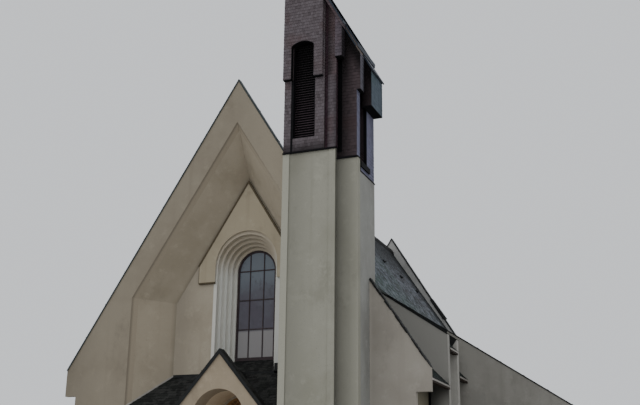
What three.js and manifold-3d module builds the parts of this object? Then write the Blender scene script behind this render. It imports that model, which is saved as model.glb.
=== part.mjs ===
// Modern church: a gabled front frame with a splayed recess and an arched window, an arched porch,
// a rendered tower with a shingled belfry, a steep slate nave and two low side wings.
// Millimetres. x = 0 is the axis of the front gable, y = 0 its front face with +y into the building,
// and z = 0 the ground.
import * as THREE from "three";
import { mergeVertices } from "three/addons/utils/BufferGeometryUtils.js";
import Module from "manifold-3d";

const wasm = await Module();
wasm.setup();

// Clearance between faces that meet on a slope or along a cut.
const GAP = 0.5;
// Length by which a cutting tool runs past what it cuts.
const PAST = 500;

// Floor and front gable frame. The eaves' "under" is where the overhanging corner steps back to "wall".
const FLOOR = 150;
const FRAME_BACK = 250;
const GABLE_APEX = 21200;
const LEFT_EAVE = { x: -8970, z: 6700, under: 5420, wall: -8360 };
const RIGHT_KNEE = { x: 5060, z: 13100 };
const RIGHT_EAVE = { x: 9770, z: 6130, under: 5100, wall: 9100 };

// Recess in the front frame: its outline at the front face and at the back wall.
const RECESS_FRONT = { half: 5500, shoulder: 10200, apex: 18900 };
const RECESS_BACK = { half: 3880, shoulder: 10100, apex: 16270 };
const RECESS_DEPTH = 1680;
const BACK_WALL = 400;
const SPLAY_SHELL = 250;
const SPLAY_CURB = { half: 5900, back: 1050, rise: 400 };

// Roof planes: height on the axis of the building, fall for each unit of width, and thickness.
const STEEP = { crest: 18500, slope: 1.48, thick: 540 };
const FLARE = { crest: 14500, slope: 0.654, thick: 360 };
const NAVE_EAVE = 4450;
const LOW = { slope: 1, thick: 420, eave: 8980, drop: 200 };
const WING_EAVE = { x: 15850, drop: 180 };

// Side walls, fins and wings.
const WALL = 300;
const AISLE_FACE = 7960;
const FIN = { end: 8950, thick: 400, first: 6400, second: 8300, crest: 14750, slope: 0.68 };
const WING = { front: 10300, thick: 400, face: 15500, crest: 14750, slope: 0.654 };
const REAR = { front: 26000, thick: 400, apex: 19500, kneeX: 4620, kneeZ: 12040, slope: 0.654 };
const WING_WINDOW = { half: 450, sill: 1300, spring: 2900, first: 12600, pitch: 3600, count: 4 };
const PANE = 30;

// Roofs of the three bays in front of each wing. The crest is that of their low 45 degree plane.
const BAYS = [
  { name: "front", y0: FRAME_BACK, y1: FIN.first, crest: 15100, flared: false },
  { name: "middle", y0: FIN.first + FIN.thick, y1: FIN.second, crest: 17050, flared: true },
  { name: "rear", y0: FIN.second + FIN.thick, y1: WING.front, crest: 15850, flared: false },
];

// Arched window with stepped reveals, in a surround that carries a gabled panel on its face.
const ARCH_SPRING = 11780;
const NICHE_RADII = [1637, 1500, 1360, 1220, 1085];
const NICHE_STEP = 280;
const NICHE_BASE = 6100;
const SURROUND = { half: 1815, base: 6000, top: 13600 };
const PANEL = { half: 2610, base: 11060, shoulder: 11890, apex: 16080, front: 1540 };
const PANEL_ARCH = { half: 1695, spring: 11890 };
const WINDOW = { half: 1000, sill: 7360, y0: 2890, y1: 2990 };

// Lean-to roof over the vestibule: height at the face of the frame, at the back wall and at the glass.
const LEAN_TO = { front: 4800, back: 6400, sill: 7220, sillY: 2889, eave: -100, thick: 280 };
const VESTIBULE = { front: 100, back: 400 };

// Porch: a gable wall with a coping, a lower roof behind it and a barrel vault through to the doors.
const PORCH = { front: -840, back: -490, slope: 1.172, half: 2400, bodyHalf: 2000 };
const COPING = { apex: 7260, thick: 190, eave: 2560, front: -890, back: -440 };
const PORCH_ROOF = { apex: 6520, thick: 180, eave: 2250 };
const VAULT = { half: 1320, spring: 4120, shell: 120 };
const DOOR = { half: 1210, top: 3000, y: 1780, thick: 60 };

// Tower shaft. Its right part is set back and its cladding starts lower.
const TOWER = { x0: 3340, step: 5980, x1: 7010, front: -1720, side: -1530, back: 830 };
const SHAFT_TOP = { front: 16130, side: 15650, back: 15050 };
const PILASTER = { width: 330, proud: 40 };

// Belfry: cladding proud of the shaft in front and behind and set in at its sides, hoods in front of
// the louvres and a roof with one slope.
const CLAD = 40;
const CLAD_INSET = 40;
const LOUVRE = { x0: 3840, x1: 4950, sill: 16800, spring: 21500, rise: 250 };
const SIDE_LOUVRE = { y0: -1180, y1: -220, sill: 15350, spring: 20250, rise: 150 };
const GROOVE = { x0: 5430, x1: 5600, depth: 100 };
const SLOT = { x0: 6020, x1: 6250, depth: 180, base: 15900, top: 20620 };
const HOOD = { x0: 3360, x1: 5370, front: -1950, base: 19800, cutX0: 3770, cutX1: 4930, rise: 220 };
const CORNER_HOOD = { x1: 6360, base: 20620 };
const CORNER_LEG = { x1: 7150, back: -1080, base: 18950 };
const SIDE_HOOD = { x1: 7420, y0: -760, base: 18400, crest: 33600 };
const BELFRY_ROOF = { crest: 33950, slope: 1.8, thick: 320, x0: 3300, x1: 7020, front: -1980, back: 900 };
const BELFRY_VERGE = { x: 6400, front: -1600 };
const SCREEN = { thick: 60, base: 15200, top: 22000 };

const render = { color: 0xb7ae9c, roughness: 0.95, metalness: 0 };
const slate = { color: 0x3f474c, roughness: 0.8, metalness: 0 };
const shingle = { color: 0x4b4143, roughness: 0.85, metalness: 0 };
const darkMetal = { color: 0x2a2624, roughness: 0.55, metalness: 0.4 };
const glazing = { color: 0x4a4c55, roughness: 0.12, metalness: 0 };
const concrete = { color: 0x8f8d86, roughness: 0.95, metalness: 0 };
const timber = { color: 0x5a4330, roughness: 0.7, metalness: 0 };

const church = new THREE.Group();

function piece(name, geometry, look) {
  const material = new THREE.MeshStandardMaterial({ ...look, flatShading: true });
  const mesh = new THREE.Mesh(geometry, material);
  mesh.name = name;
  church.add(mesh);
}

// Solids from outlines, which are lists of [a, b] corners.
const X = new THREE.Vector3(1, 0, 0);
const Y = new THREE.Vector3(0, 1, 0);
const Z = new THREE.Vector3(0, 0, 1);

function points(outline) {
  return outline.map(([a, b]) => new THREE.Vector2(a, b));
}

function extrude(outline, depth, holes) {
  const shape = new THREE.Shape(points(outline));
  for (const hole of holes) shape.holes.push(new THREE.Path(points(hole)));
  return new THREE.ExtrudeGeometry(shape, { depth, bevelEnabled: false });
}

// Outline in x and z, from y0 to y1.
function alongY(outline, y0, y1, holes = []) {
  const geometry = extrude(outline, y1 - y0, holes);
  geometry.applyMatrix4(new THREE.Matrix4().makeBasis(X, Z, Y.clone().negate()));
  return geometry.translate(0, y1, 0);
}

// Outline in y and z, from x0 to x1.
function alongX(outline, x0, x1, holes = []) {
  const geometry = extrude(outline, x1 - x0, holes);
  geometry.applyMatrix4(new THREE.Matrix4().makeBasis(Y, Z, X));
  return geometry.translate(x0, 0, 0);
}

// Outline in x and y, from z0 to z1.
function alongZ(outline, z0, z1, holes = []) {
  return extrude(outline, z1 - z0, holes).translate(0, 0, z0);
}

function block(x0, x1, y0, y1, z0, z1) {
  const geometry = new THREE.BoxGeometry(x1 - x0, y1 - y0, z1 - z0);
  return geometry.translate((x0 + x1) / 2, (y0 + y1) / 2, (z0 + z1) / 2);
}

// Solid between two outlines in x and z with the same number of corners, one at y0 and one at y1.
function loft(front, y0, back, y1) {
  const count = front.length;
  const positions = [];
  for (const [x, z] of front) positions.push(x, y0, z);
  for (const [x, z] of back) positions.push(x, y1, z);
  const index = [];
  for (const [a, b, c] of THREE.ShapeUtils.triangulateShape(points(front), [])) {
    index.push(a, b, c);
    index.push(a + count, c + count, b + count);
  }
  for (let i = 0; i < count; i += 1) {
    const j = (i + 1) % count;
    index.push(i, i + count, j + count);
    index.push(i, j + count, j);
  }
  const geometry = new THREE.BufferGeometry();
  geometry.setAttribute("position", new THREE.Float32BufferAttribute(positions, 3));
  geometry.setIndex(index);
  return geometry;
}

// Cutting and joining.
function toSolid(geometry) {
  const bare = geometry.clone();
  bare.deleteAttribute("normal");
  bare.deleteAttribute("uv");
  const merged = mergeVertices(bare);
  const vertProperties = new Float32Array(merged.attributes.position.array);
  const triVerts = new Uint32Array(merged.index.array);
  return new wasm.Manifold(new wasm.Mesh({ numProp: 3, vertProperties, triVerts }));
}

function toGeometry(solid) {
  const mesh = solid.getMesh();
  const geometry = new THREE.BufferGeometry();
  geometry.setAttribute("position", new THREE.Float32BufferAttribute(mesh.vertProperties, 3));
  geometry.setIndex([...mesh.triVerts]);
  return geometry;
}

function cut(geometry, ...tools) {
  return toGeometry(tools.reduce((rest, tool) => rest.subtract(toSolid(tool)), toSolid(geometry)));
}

function join(first, ...others) {
  return toGeometry(others.reduce((sum, other) => sum.add(toSolid(other)), toSolid(first)));
}

function common(first, second) {
  return toGeometry(toSolid(first).intersect(toSolid(second)));
}

// Outlines.
// Opening with a round head: a half circle, or a flatter arc where rise is less than half.
function arched(centre, half, base, spring, rise = half, steps = 24) {
  const radius = (half * half + rise * rise) / (2 * rise);
  const middle = spring + rise - radius;
  const reach = Math.asin(Math.min(1, half / radius));
  const outline = [[centre - half, base], [centre + half, base]];
  for (let i = 0; i <= steps; i += 1) {
    const angle = reach - (2 * reach * i) / steps;
    outline.push([centre + radius * Math.sin(angle), middle + radius * Math.cos(angle)]);
  }
  return outline;
}

function gabled({ half, shoulder, apex }, base) {
  return [[-half, base], [half, base], [half, shoulder], [0, apex], [-half, shoulder]];
}

// Where two roof planes cross.
function crossing(a, b) {
  const x = (a.crest - b.crest) / (a.slope - b.slope);
  return [x, a.crest - a.slope * x];
}

const heightOf = (plane, x) => plane.crest - plane.slope * x;
const lowered = (plane) => ({ ...plane, crest: plane.crest - plane.thick });

// Line of a roof from x0 to x1 that follows one plane after another.
function roofLine(planes, x0, x1) {
  const line = [[x0, heightOf(planes[0], x0)]];
  for (let i = 1; i < planes.length; i += 1) line.push(crossing(planes[i - 1], planes[i]));
  line.push([x1, heightOf(planes[planes.length - 1], x1)]);
  return line;
}

// Section of a roof with a boxed eave at x1.
function roofSection(planes, x0, x1, drop) {
  const last = planes[planes.length - 1];
  const tip = heightOf(last, x1) - drop;
  const box = (last.crest - last.thick - tip) / last.slope;
  const under = roofLine(planes.map(lowered), x0, box).reverse();
  return [...roofLine(planes, x0, x1), [x1, tip], ...under];
}

function bayPlanes(bay) {
  const low = { ...LOW, crest: bay.crest };
  return bay.flared ? [STEEP, FLARE, low] : [STEEP, low];
}

// Side wall of a bay, up to the underside of its roof.
function aisleWall(bay) {
  const inner = AISLE_FACE - WALL;
  const under = (x) => bay.crest - LOW.thick - GAP - LOW.slope * x;
  return [[inner, FLOOR], [AISLE_FACE, FLOOR], [AISLE_FACE, under(AISLE_FACE)], [inner, under(inner)]];
}

// Cross wall that rises from the steep roof's edge to its own crest, open inside below the bay's roof.
function crossWall(crest, end, bay) {
  const inner = AISLE_FACE - WALL;
  const under = roofLine(bayPlanes(bay).map(lowered), NAVE_EAVE, inner).reverse();
  return [...roofLine([STEEP, crest], NAVE_EAVE, end), [end, FLOOR], [inner, FLOOR], ...under];
}

// Recess in the front frame.
function recessAt(y, grow) {
  const at = (key) => RECESS_FRONT[key] + ((RECESS_BACK[key] - RECESS_FRONT[key]) * y) / RECESS_DEPTH;
  const half = at("half");
  const slope = (at("apex") - at("shoulder")) / half;
  const lift = grow * Math.hypot(1, slope);
  return { half: half + grow, shoulder: at("shoulder") + lift - slope * grow, apex: at("apex") + lift };
}

function recessSolid(y0, y1, grow, base) {
  return loft(gabled(recessAt(y0, grow), base), y0, gabled(recessAt(y1, grow), base), y1);
}

function towerPrism() {
  return block(TOWER.x0 - GAP, TOWER.x1 + GAP, TOWER.front, TOWER.back + GAP, -PAST, STEEP.crest);
}

function frontFrame() {
  const rake = (GABLE_APEX - LEFT_EAVE.z) / -LEFT_EAVE.x;
  const left = [
    [LEFT_EAVE.wall, FLOOR],
    [LEFT_EAVE.wall, LEFT_EAVE.under],
    [LEFT_EAVE.x, LEFT_EAVE.under],
    [LEFT_EAVE.x, LEFT_EAVE.z],
    [0, GABLE_APEX],
    [TOWER.x0, GABLE_APEX - rake * TOWER.x0],
    [TOWER.x0, FLOOR],
  ];
  const opening = recessSolid(-PAST, FRAME_BACK + PAST, 0, -PAST);
  piece("front_gable_left", cut(alongY(left, 0, FRAME_BACK), opening), render);

  const lowRake = (RIGHT_KNEE.z - RIGHT_EAVE.z) / (RIGHT_EAVE.x - RIGHT_KNEE.x);
  const right = [
    [TOWER.x1, FLOOR],
    [RIGHT_EAVE.wall, FLOOR],
    [RIGHT_EAVE.wall, RIGHT_EAVE.under],
    [RIGHT_EAVE.x, RIGHT_EAVE.under],
    [RIGHT_EAVE.x, RIGHT_EAVE.z],
    [TOWER.x1, RIGHT_EAVE.z + lowRake * (RIGHT_EAVE.x - TOWER.x1)],
  ];
  piece("front_gable_right", alongY(right, 0, FRAME_BACK), render);
}

// Curb behind the frame, against which the roofs end.
function curb(grow) {
  const half = SPLAY_CURB.half + grow;
  const rise = SPLAY_CURB.rise + grow;
  const outline = { half, shoulder: heightOf(STEEP, half) + rise, apex: STEEP.crest + rise };
  return alongY(gabled(outline, FLOOR), FRAME_BACK, SPLAY_CURB.back + grow);
}

function recess() {
  const shell = recessSolid(SPLAY_CURB.back, RECESS_DEPTH, SPLAY_SHELL, FLOOR);
  const inside = recessSolid(0, RECESS_DEPTH + PAST, 0, -PAST);
  piece("recess_surround", cut(join(curb(0), shell), inside, towerPrism()), render);
}

// Stepped opening of the window, each step narrower than the one in front of it.
function nicheSolid(shrink) {
  const steps = NICHE_RADII.map((radius, i) => {
    const outline = arched(0, radius - shrink, NICHE_BASE, ARCH_SPRING);
    return alongY(outline, RECESS_DEPTH - PAST, RECESS_DEPTH + (i + 1) * NICHE_STEP + GAP);
  });
  return join(...steps);
}

function naveFront() {
  const back = RECESS_DEPTH + BACK_WALL;
  const wall = alongY(gabled(recessAt(RECESS_DEPTH, SPLAY_SHELL), FLOOR), RECESS_DEPTH, back);
  const doorway = alongY(arched(0, DOOR.half, -PAST, VAULT.spring), 0, back + PAST);
  const { half, base, top } = SURROUND;
  const hole = block(-half, half, 0, back + PAST, base, top);
  piece("nave_front_wall", cut(wall, doorway, hole), render);

  const surround = block(-half, half, RECESS_DEPTH, RECESS_DEPTH + NICHE_RADII.length * NICHE_STEP, base, top);
  const panel = alongY(gabled(PANEL, PANEL.base), PANEL.front, RECESS_DEPTH);
  const panelArch = arched(0, PANEL_ARCH.half, PANEL.base - PAST, PANEL_ARCH.spring);
  const panelHole = alongY(panelArch, PANEL.front - PAST, RECESS_DEPTH);
  piece("window_surround", cut(join(surround, panel), panelHole, nicheSolid(0)), render);

  const frame = arched(0, NICHE_RADII[NICHE_RADII.length - 1] - GAP, NICHE_BASE + GAP, ARCH_SPRING);
  const opening = arched(0, WINDOW.half, WINDOW.sill, ARCH_SPRING);
  piece("window_frame", alongY(frame, WINDOW.y0, WINDOW.y1, [opening]), darkMetal);
  piece("window_glass", pane((WINDOW.y0 + WINDOW.y1) / 2), glazing);
}

function pane(y) {
  const outline = arched(0, WINDOW.half - GAP, WINDOW.sill + GAP, ARCH_SPRING);
  return alongY(outline, y - PANE / 2, y + PANE / 2);
}

// Height of the lean-to roof.
function leanTop(y) {
  return LEAN_TO.front + ((LEAN_TO.back - LEAN_TO.front) * y) / RECESS_DEPTH;
}

// Outline below the two slopes that meet at the apex and fall to either side of the porch.
function underPorchSlopes(apex, half) {
  const foot = apex - PORCH.slope * half;
  return [[-half, foot], [half, foot], [0, apex]];
}

// Two slopes of the porch, as one bent sheet.
function porchSlopes({ apex, thick, eave }) {
  const tip = apex - PORCH.slope * eave;
  return [
    [0, apex],
    [eave, tip],
    [eave, tip - thick],
    [0, apex - thick],
    [-eave, tip - thick],
    [-eave, tip],
  ];
}

// Gable wall or body of the porch, up to the underside of its slopes.
function porchBody(slopes, half, y0, y1) {
  const apex = slopes.apex - slopes.thick - GAP;
  return alongY(gabled({ half, shoulder: apex - PORCH.slope * half, apex }, FLOOR), y0, y1);
}

function vestibule() {
  const reach = RECESS_FRONT.half + PAST;
  const back = RECESS_DEPTH - GAP;
  const slope = [
    [LEAN_TO.eave, leanTop(LEAN_TO.eave)],
    [LEAN_TO.eave, leanTop(LEAN_TO.eave) - LEAN_TO.thick],
    [back, leanTop(back) - LEAN_TO.thick],
    [back, leanTop(back)],
  ];
  const inRecess = recessSolid(LEAN_TO.eave - GAP, RECESS_DEPTH, -GAP, 0);
  const sheet = common(alongX(slope, -reach, reach), inRecess);
  const vaultTop = VAULT.spring + VAULT.half + VAULT.shell;
  const rise = (LEAN_TO.back - LEAN_TO.front) / RECESS_DEPTH;
  const overVault = (vaultTop + 2 * GAP + LEAN_TO.thick - LEAN_TO.front) / rise;
  const underRoof = PORCH_ROOF.apex - PORCH_ROOF.thick;
  const porchSpace = alongY(underPorchSlopes(underRoof, PORCH_ROOF.eave), LEAN_TO.eave - PAST, overVault);
  piece("vestibule_roof", cut(sheet, towerPrism(), porchSpace), slate);

  const sill = [
    [RECESS_DEPTH, NICHE_BASE],
    [RECESS_DEPTH, LEAN_TO.back],
    [LEAN_TO.sillY, LEAN_TO.sill],
    [LEAN_TO.sillY, NICHE_BASE],
  ];
  const inNiche = common(alongX(sill, -reach, reach), nicheSolid(GAP));
  piece("window_sill", cut(inNiche, block(-reach, reach, 0, RECESS_DEPTH + GAP, 0, STEEP.crest)), slate);

  const { front: y0, back: y1 } = VESTIBULE;
  const under = (y) => leanTop(y) - LEAN_TO.thick - GAP;
  const low = alongX([[y0, FLOOR], [y0, under(y0)], [y1, under(y1)], [y1, FLOOR]], -reach, reach);
  const gable = alongY(underPorchSlopes(underRoof - GAP, PORCH_ROOF.eave), y0, y1);
  const shell = alongY(arched(0, VAULT.half + VAULT.shell, FLOOR, VAULT.spring), y1, RECESS_DEPTH);
  const wall = cut(join(common(low, inRecess), gable), towerPrism());
  piece("vestibule_walls", cut(join(wall, shell), passage()), render);
}

function passage() {
  return alongY(arched(0, VAULT.half, -PAST, VAULT.spring), PORCH.front - PAST, RECESS_DEPTH + PAST);
}

function porch() {
  const gable = porchBody(COPING, PORCH.half, PORCH.front, PORCH.back);
  const body = porchBody(PORCH_ROOF, PORCH.bodyHalf, PORCH.back, VESTIBULE.front);
  piece("porch", cut(join(gable, body), passage()), render);
  piece("porch_coping", alongY(porchSlopes(COPING), COPING.front, COPING.back), slate);

  const start = LEAN_TO.eave - GAP;
  const end = RECESS_DEPTH + PAST;
  const belowLeanTo = alongX([
    [start, 0],
    [start, leanTop(start) + GAP],
    [end, leanTop(end) + GAP],
    [end, 0],
  ], -PORCH_ROOF.eave - PAST, PORCH_ROOF.eave + PAST);
  const slopes = alongY(porchSlopes(PORCH_ROOF), PORCH.back, RECESS_DEPTH - GAP);
  piece("porch_roof", cut(slopes, belowLeanTo), slate);
}

function entrance() {
  const { half, top, y, thick } = DOOR;
  piece("entrance_door_left", block(GAP - half, -GAP, y, y + thick, FLOOR, top), timber);
  piece("entrance_door_right", block(GAP, half - GAP, y, y + thick, FLOOR, top), timber);
  const light = arched(0, half - GAP, top, VAULT.spring);
  piece("entrance_fanlight", alongY(light, y, y + thick), timber);
}

// Roofs and walls on one side of the nave. For the left side x changes its sign.
function side(name, sign) {
  const flip = (outline) => outline.map(([x, z]) => [sign * x, z]);
  const nave = flip(roofSection([STEEP], 0, NAVE_EAVE, STEEP.thick));
  piece(`nave_roof_${name}`, alongY(nave, SPLAY_CURB.back + GAP, REAR.front), slate);

  const [frontBay, middleBay, rearBay] = BAYS;
  for (const bay of BAYS) {
    const section = flip(roofSection(bayPlanes(bay), NAVE_EAVE, LOW.eave, LOW.drop));
    const roof = alongY(section, bay.y0, bay.y1);
    const shaped = bay === frontBay ? cut(roof, curb(GAP), towerPrism()) : roof;
    piece(`low_roof_${bay.name}_${name}`, shaped, slate);
  }
  piece(`aisle_wall_${name}`, alongY(flip(aisleWall(frontBay)), frontBay.y0, frontBay.y1), render);

  const fin = flip(crossWall(FIN, FIN.end, frontBay));
  piece(`fin_pier_${name}`, join(
    alongY(fin, FIN.first, FIN.first + FIN.thick),
    alongY(flip(aisleWall(middleBay)), middleBay.y0, middleBay.y1),
    alongY(fin, FIN.second, FIN.second + FIN.thick),
  ), render);

  const wingBack = WING.front + WING.thick;
  piece(`wing_front_wall_${name}`, join(
    alongY(flip(aisleWall(rearBay)), rearBay.y0, rearBay.y1),
    alongY(flip(crossWall(WING, WING.face, rearBay)), WING.front, wingBack),
  ), render);

  const wingRoof = flip(roofSection([STEEP, FLARE], NAVE_EAVE, WING_EAVE.x, WING_EAVE.drop));
  piece(`wing_roof_${name}`, alongY(wingRoof, wingBack, REAR.front), slate);

  const inner = WING.face - WALL;
  const under = (x) => heightOf(lowered(FLARE), x) - GAP;
  const wall = alongY(flip([
    [inner, FLOOR],
    [WING.face, FLOOR],
    [WING.face, under(WING.face)],
    [inner, under(inner)],
  ]), wingBack, REAR.front);
  const centres = Array.from({ length: WING_WINDOW.count }, (_, i) => WING_WINDOW.first + i * WING_WINDOW.pitch);
  const { half, sill, spring } = WING_WINDOW;
  const [low, high] = [sign * (inner - PAST), sign * (WING.face + PAST)].sort((a, b) => a - b);
  const windows = centres.map((y) => alongX(arched(y, half, sill, spring), low, high));
  piece(`wing_side_wall_${name}`, cut(wall, ...windows), render);

  const glassX = [sign * (inner - PANE), sign * inner].sort((a, b) => a - b);
  const margin = 2 * PANE;
  const y0 = centres[0] - half - margin;
  const y1 = centres[centres.length - 1] + half + margin;
  piece(`wing_windows_${name}`, block(...glassX, y0, y1, sill - margin, spring + half + margin), glazing);
}

function rearWall() {
  const foot = REAR.kneeZ - REAR.slope * (WING.face - REAR.kneeX);
  const outline = [
    [-WING.face, FLOOR],
    [WING.face, FLOOR],
    [WING.face, foot],
    [REAR.kneeX, REAR.kneeZ],
    [0, REAR.apex],
    [-REAR.kneeX, REAR.kneeZ],
    [-WING.face, foot],
  ];
  const opening = arched(0, WINDOW.half, WINDOW.sill, ARCH_SPRING);
  piece("rear_wall", alongY(outline, REAR.front, REAR.front + REAR.thick, [opening]), render);
  piece("rear_window_glass", pane(REAR.front + REAR.thick / 2), glazing);
}

function shaft() {
  const { x0, step, x1, front, side: sideY, back } = TOWER;
  const { width, proud } = PILASTER;
  const main = block(x0, step, front, front + WALL, FLOOR, SHAFT_TOP.front);
  const field = block(x0 + width, step - width, front - PAST, front + proud, -PAST, SHAFT_TOP.front + PAST);
  const right = block(step, x1, sideY, sideY + WALL, FLOOR, SHAFT_TOP.side);
  piece("tower_front_wall", cut(join(main, right), field), render);
  piece("tower_left_wall", block(x0, x0 + WALL, front + WALL, back - WALL, FLOOR, SHAFT_TOP.front), render);
  piece("tower_right_wall", block(x1 - WALL, x1, sideY + WALL, back - WALL, FLOOR, SHAFT_TOP.back), render);
  piece("tower_back_wall", block(x0, x1, back - WALL, back, FLOOR, SHAFT_TOP.back), render);
}

const underBelfryRoof = (x) => BELFRY_ROOF.crest - BELFRY_ROOF.slope * x - BELFRY_ROOF.thick - GAP;

// Part of the belfry between x0 and x1, from its base up to the sloping roof.
function clad(x0, x1, y0, y1, base) {
  return alongY([[x0, base], [x1, base], [x1, underBelfryRoof(x1)], [x0, underBelfryRoof(x0)]], y0, y1);
}

function belfry() {
  const left = TOWER.x0 + CLAD_INSET;
  const right = TOWER.x1 - CLAD_INSET;
  const front = TOWER.front - CLAD;
  const sideY = TOWER.side - CLAD;
  const back = TOWER.back + CLAD;
  const frontIn = TOWER.front + WALL;
  const sideIn = TOWER.side + WALL;
  const backIn = TOWER.back - WALL;

  const centre = (LOUVRE.x0 + LOUVRE.x1) / 2;
  const half = (LOUVRE.x1 - LOUVRE.x0) / 2;
  const louvreHole = arched(centre, half, LOUVRE.sill, LOUVRE.spring, LOUVRE.rise, 10);
  const sideCentre = (SIDE_LOUVRE.y0 + SIDE_LOUVRE.y1) / 2;
  const sideHalf = (SIDE_LOUVRE.y1 - SIDE_LOUVRE.y0) / 2;
  const sideHole = (base) => arched(sideCentre, sideHalf, base, SIDE_LOUVRE.spring, SIDE_LOUVRE.rise, 10);

  const main = clad(left, SLOT.x0, front, frontIn, SHAFT_TOP.front);
  const setBack = clad(TOWER.step, right, sideY, sideIn, SHAFT_TOP.side);
  const cornerHood = clad(SLOT.x0, CORNER_HOOD.x1, HOOD.front, sideY, CORNER_HOOD.base);
  const cornerLeg = clad(right, CORNER_LEG.x1, sideY, CORNER_LEG.back, CORNER_LEG.base);
  piece("belfry_front", cut(
    join(main, setBack, cornerHood, cornerLeg),
    alongY(louvreHole, front - PAST, frontIn + PAST),
    block(GROOVE.x0, GROOVE.x1, front - PAST, front + GROOVE.depth, 0, BELFRY_ROOF.crest),
    block(SLOT.x0, SLOT.x1, sideY - PAST, sideY + SLOT.depth, SLOT.base, SLOT.top),
  ), shingle);
  piece("belfry_left", cut(
    clad(left, TOWER.x0 + WALL, frontIn, backIn, SHAFT_TOP.front),
    alongX(sideHole(LOUVRE.sill), left - PAST, TOWER.x0 + WALL + PAST),
  ), shingle);
  piece("belfry_right", cut(
    clad(TOWER.x1 - WALL, right, sideIn, backIn, SHAFT_TOP.back),
    alongX(sideHole(SIDE_LOUVRE.sill), TOWER.x1 - WALL - PAST, right + PAST),
  ), shingle);
  piece("belfry_back", cut(
    clad(left, right, backIn, back, SHAFT_TOP.back),
    alongY(louvreHole, backIn - PAST, back + PAST),
  ), shingle);

  const hoodCentre = (HOOD.cutX0 + HOOD.cutX1) / 2;
  const hoodHalf = (HOOD.cutX1 - HOOD.cutX0) / 2;
  const hoodHole = arched(hoodCentre, hoodHalf, HOOD.base - PAST, LOUVRE.spring, HOOD.rise, 10);
  piece("belfry_front_hood", cut(
    clad(HOOD.x0, HOOD.x1, HOOD.front, front, HOOD.base),
    alongY(hoodHole, HOOD.front - PAST, front + PAST),
  ), shingle);

  const hoodTop = (x) => SIDE_HOOD.crest - BELFRY_ROOF.slope * x;
  piece("belfry_side_hood", alongY([
    [right, SIDE_HOOD.base],
    [SIDE_HOOD.x1, SIDE_HOOD.base],
    [SIDE_HOOD.x1, hoodTop(SIDE_HOOD.x1)],
    [right, hoodTop(right)],
  ], SIDE_HOOD.y0, back), shingle);

  const { crest, slope, thick, x0, x1 } = BELFRY_ROOF;
  const strip = (a, b) => [
    [a, crest - slope * a],
    [a, crest - slope * a - thick],
    [b, crest - slope * b - thick],
    [b, crest - slope * b],
  ];
  piece("belfry_roof", join(
    alongY(strip(x0, x1), BELFRY_VERGE.front, BELFRY_ROOF.back),
    alongY(strip(x0, BELFRY_VERGE.x), BELFRY_ROOF.front, BELFRY_VERGE.front),
  ), slate);

  // Screen of louvres, close behind every opening of the belfry.
  const ring = (inset) => [
    [TOWER.x0 + WALL + inset, frontIn + inset],
    [TOWER.step - inset, frontIn + inset],
    [TOWER.step - inset, sideIn + inset],
    [TOWER.x1 - WALL - inset, sideIn + inset],
    [TOWER.x1 - WALL - inset, backIn - inset],
    [TOWER.x0 + WALL + inset, backIn - inset],
  ];
  const tube = alongZ(ring(0), SCREEN.base, SCREEN.top, [ring(SCREEN.thick)]);
  piece("belfry_louvres", common(tube, clad(left, right, front, back, 0)), darkMetal);
}

function floorSlab() {
  const side = [
    [RIGHT_EAVE.wall, 0],
    [RIGHT_EAVE.wall, FRAME_BACK],
    [AISLE_FACE, FRAME_BACK],
    [AISLE_FACE, FIN.first],
    [FIN.end, FIN.first],
    [FIN.end, FIN.second + FIN.thick],
    [AISLE_FACE, FIN.second + FIN.thick],
    [AISLE_FACE, WING.front],
    [WING.face, WING.front],
    [WING.face, REAR.front + REAR.thick],
  ];
  const left = side.slice(2).map(([x, y]) => [-x, y]).reverse();
  return alongZ([
    [-PORCH.half, 0],
    [-PORCH.half, PORCH.front],
    [PORCH.half, PORCH.front],
    [PORCH.half, 0],
    [TOWER.x0, 0],
    [TOWER.x0, TOWER.front],
    [TOWER.step, TOWER.front],
    [TOWER.step, TOWER.side],
    [TOWER.x1, TOWER.side],
    [TOWER.x1, 0],
    ...side,
    ...left,
    [LEFT_EAVE.wall, FRAME_BACK],
    [LEFT_EAVE.wall, 0],
  ], 0, FLOOR);
}

piece("floor_slab", floorSlab(), concrete);
frontFrame();
recess();
naveFront();
vestibule();
porch();
entrance();
side("right", 1);
side("left", -1);
rearWall();
shaft();
belfry();

export default church;
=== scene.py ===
"""Looks of the modern church: rendered walls, slate roofs, a shingled belfry, windows and copings.

Metres, in the part's frame: x = 0 is the axis of the front gable, y = 0 its front face, z = 0 the ground.
"""

import math
import random

import bpy
from mathutils import Matrix, Vector


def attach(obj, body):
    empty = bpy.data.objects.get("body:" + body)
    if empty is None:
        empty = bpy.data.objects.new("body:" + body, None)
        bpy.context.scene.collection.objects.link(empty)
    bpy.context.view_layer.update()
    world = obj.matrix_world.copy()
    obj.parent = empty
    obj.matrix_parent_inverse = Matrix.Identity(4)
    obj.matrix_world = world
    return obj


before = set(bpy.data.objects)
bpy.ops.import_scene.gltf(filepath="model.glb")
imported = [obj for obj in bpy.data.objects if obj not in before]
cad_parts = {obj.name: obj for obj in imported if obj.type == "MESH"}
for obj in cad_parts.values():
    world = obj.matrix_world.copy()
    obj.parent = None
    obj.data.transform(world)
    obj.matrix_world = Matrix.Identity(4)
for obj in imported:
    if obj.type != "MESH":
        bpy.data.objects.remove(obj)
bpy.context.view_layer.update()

SIDES = (("right", 1), ("left", -1))

# Roof planes of the part: height on the building's axis and fall for each metre of width.
STEEP, FLARE = (18.5, 1.48), (14.5, 0.654)
LOW_SLOPE = 1.0
RIDGE_TOP = 18.7
NAVE_EAVE, LOW_EAVE, WING_EAVE = 4.45, 8.98, 15.85
ROOF_FRONT, ROOF_BACK, WING_BACK = 1.05, 26.0, 10.7
EAVE_DROP, WING_DROP = 0.2, 0.18
# Curb that the recess raises through the roof: half width, and height over the roof.
CURB_HALF, CURB_RISE = 5.9, 0.4
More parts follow.
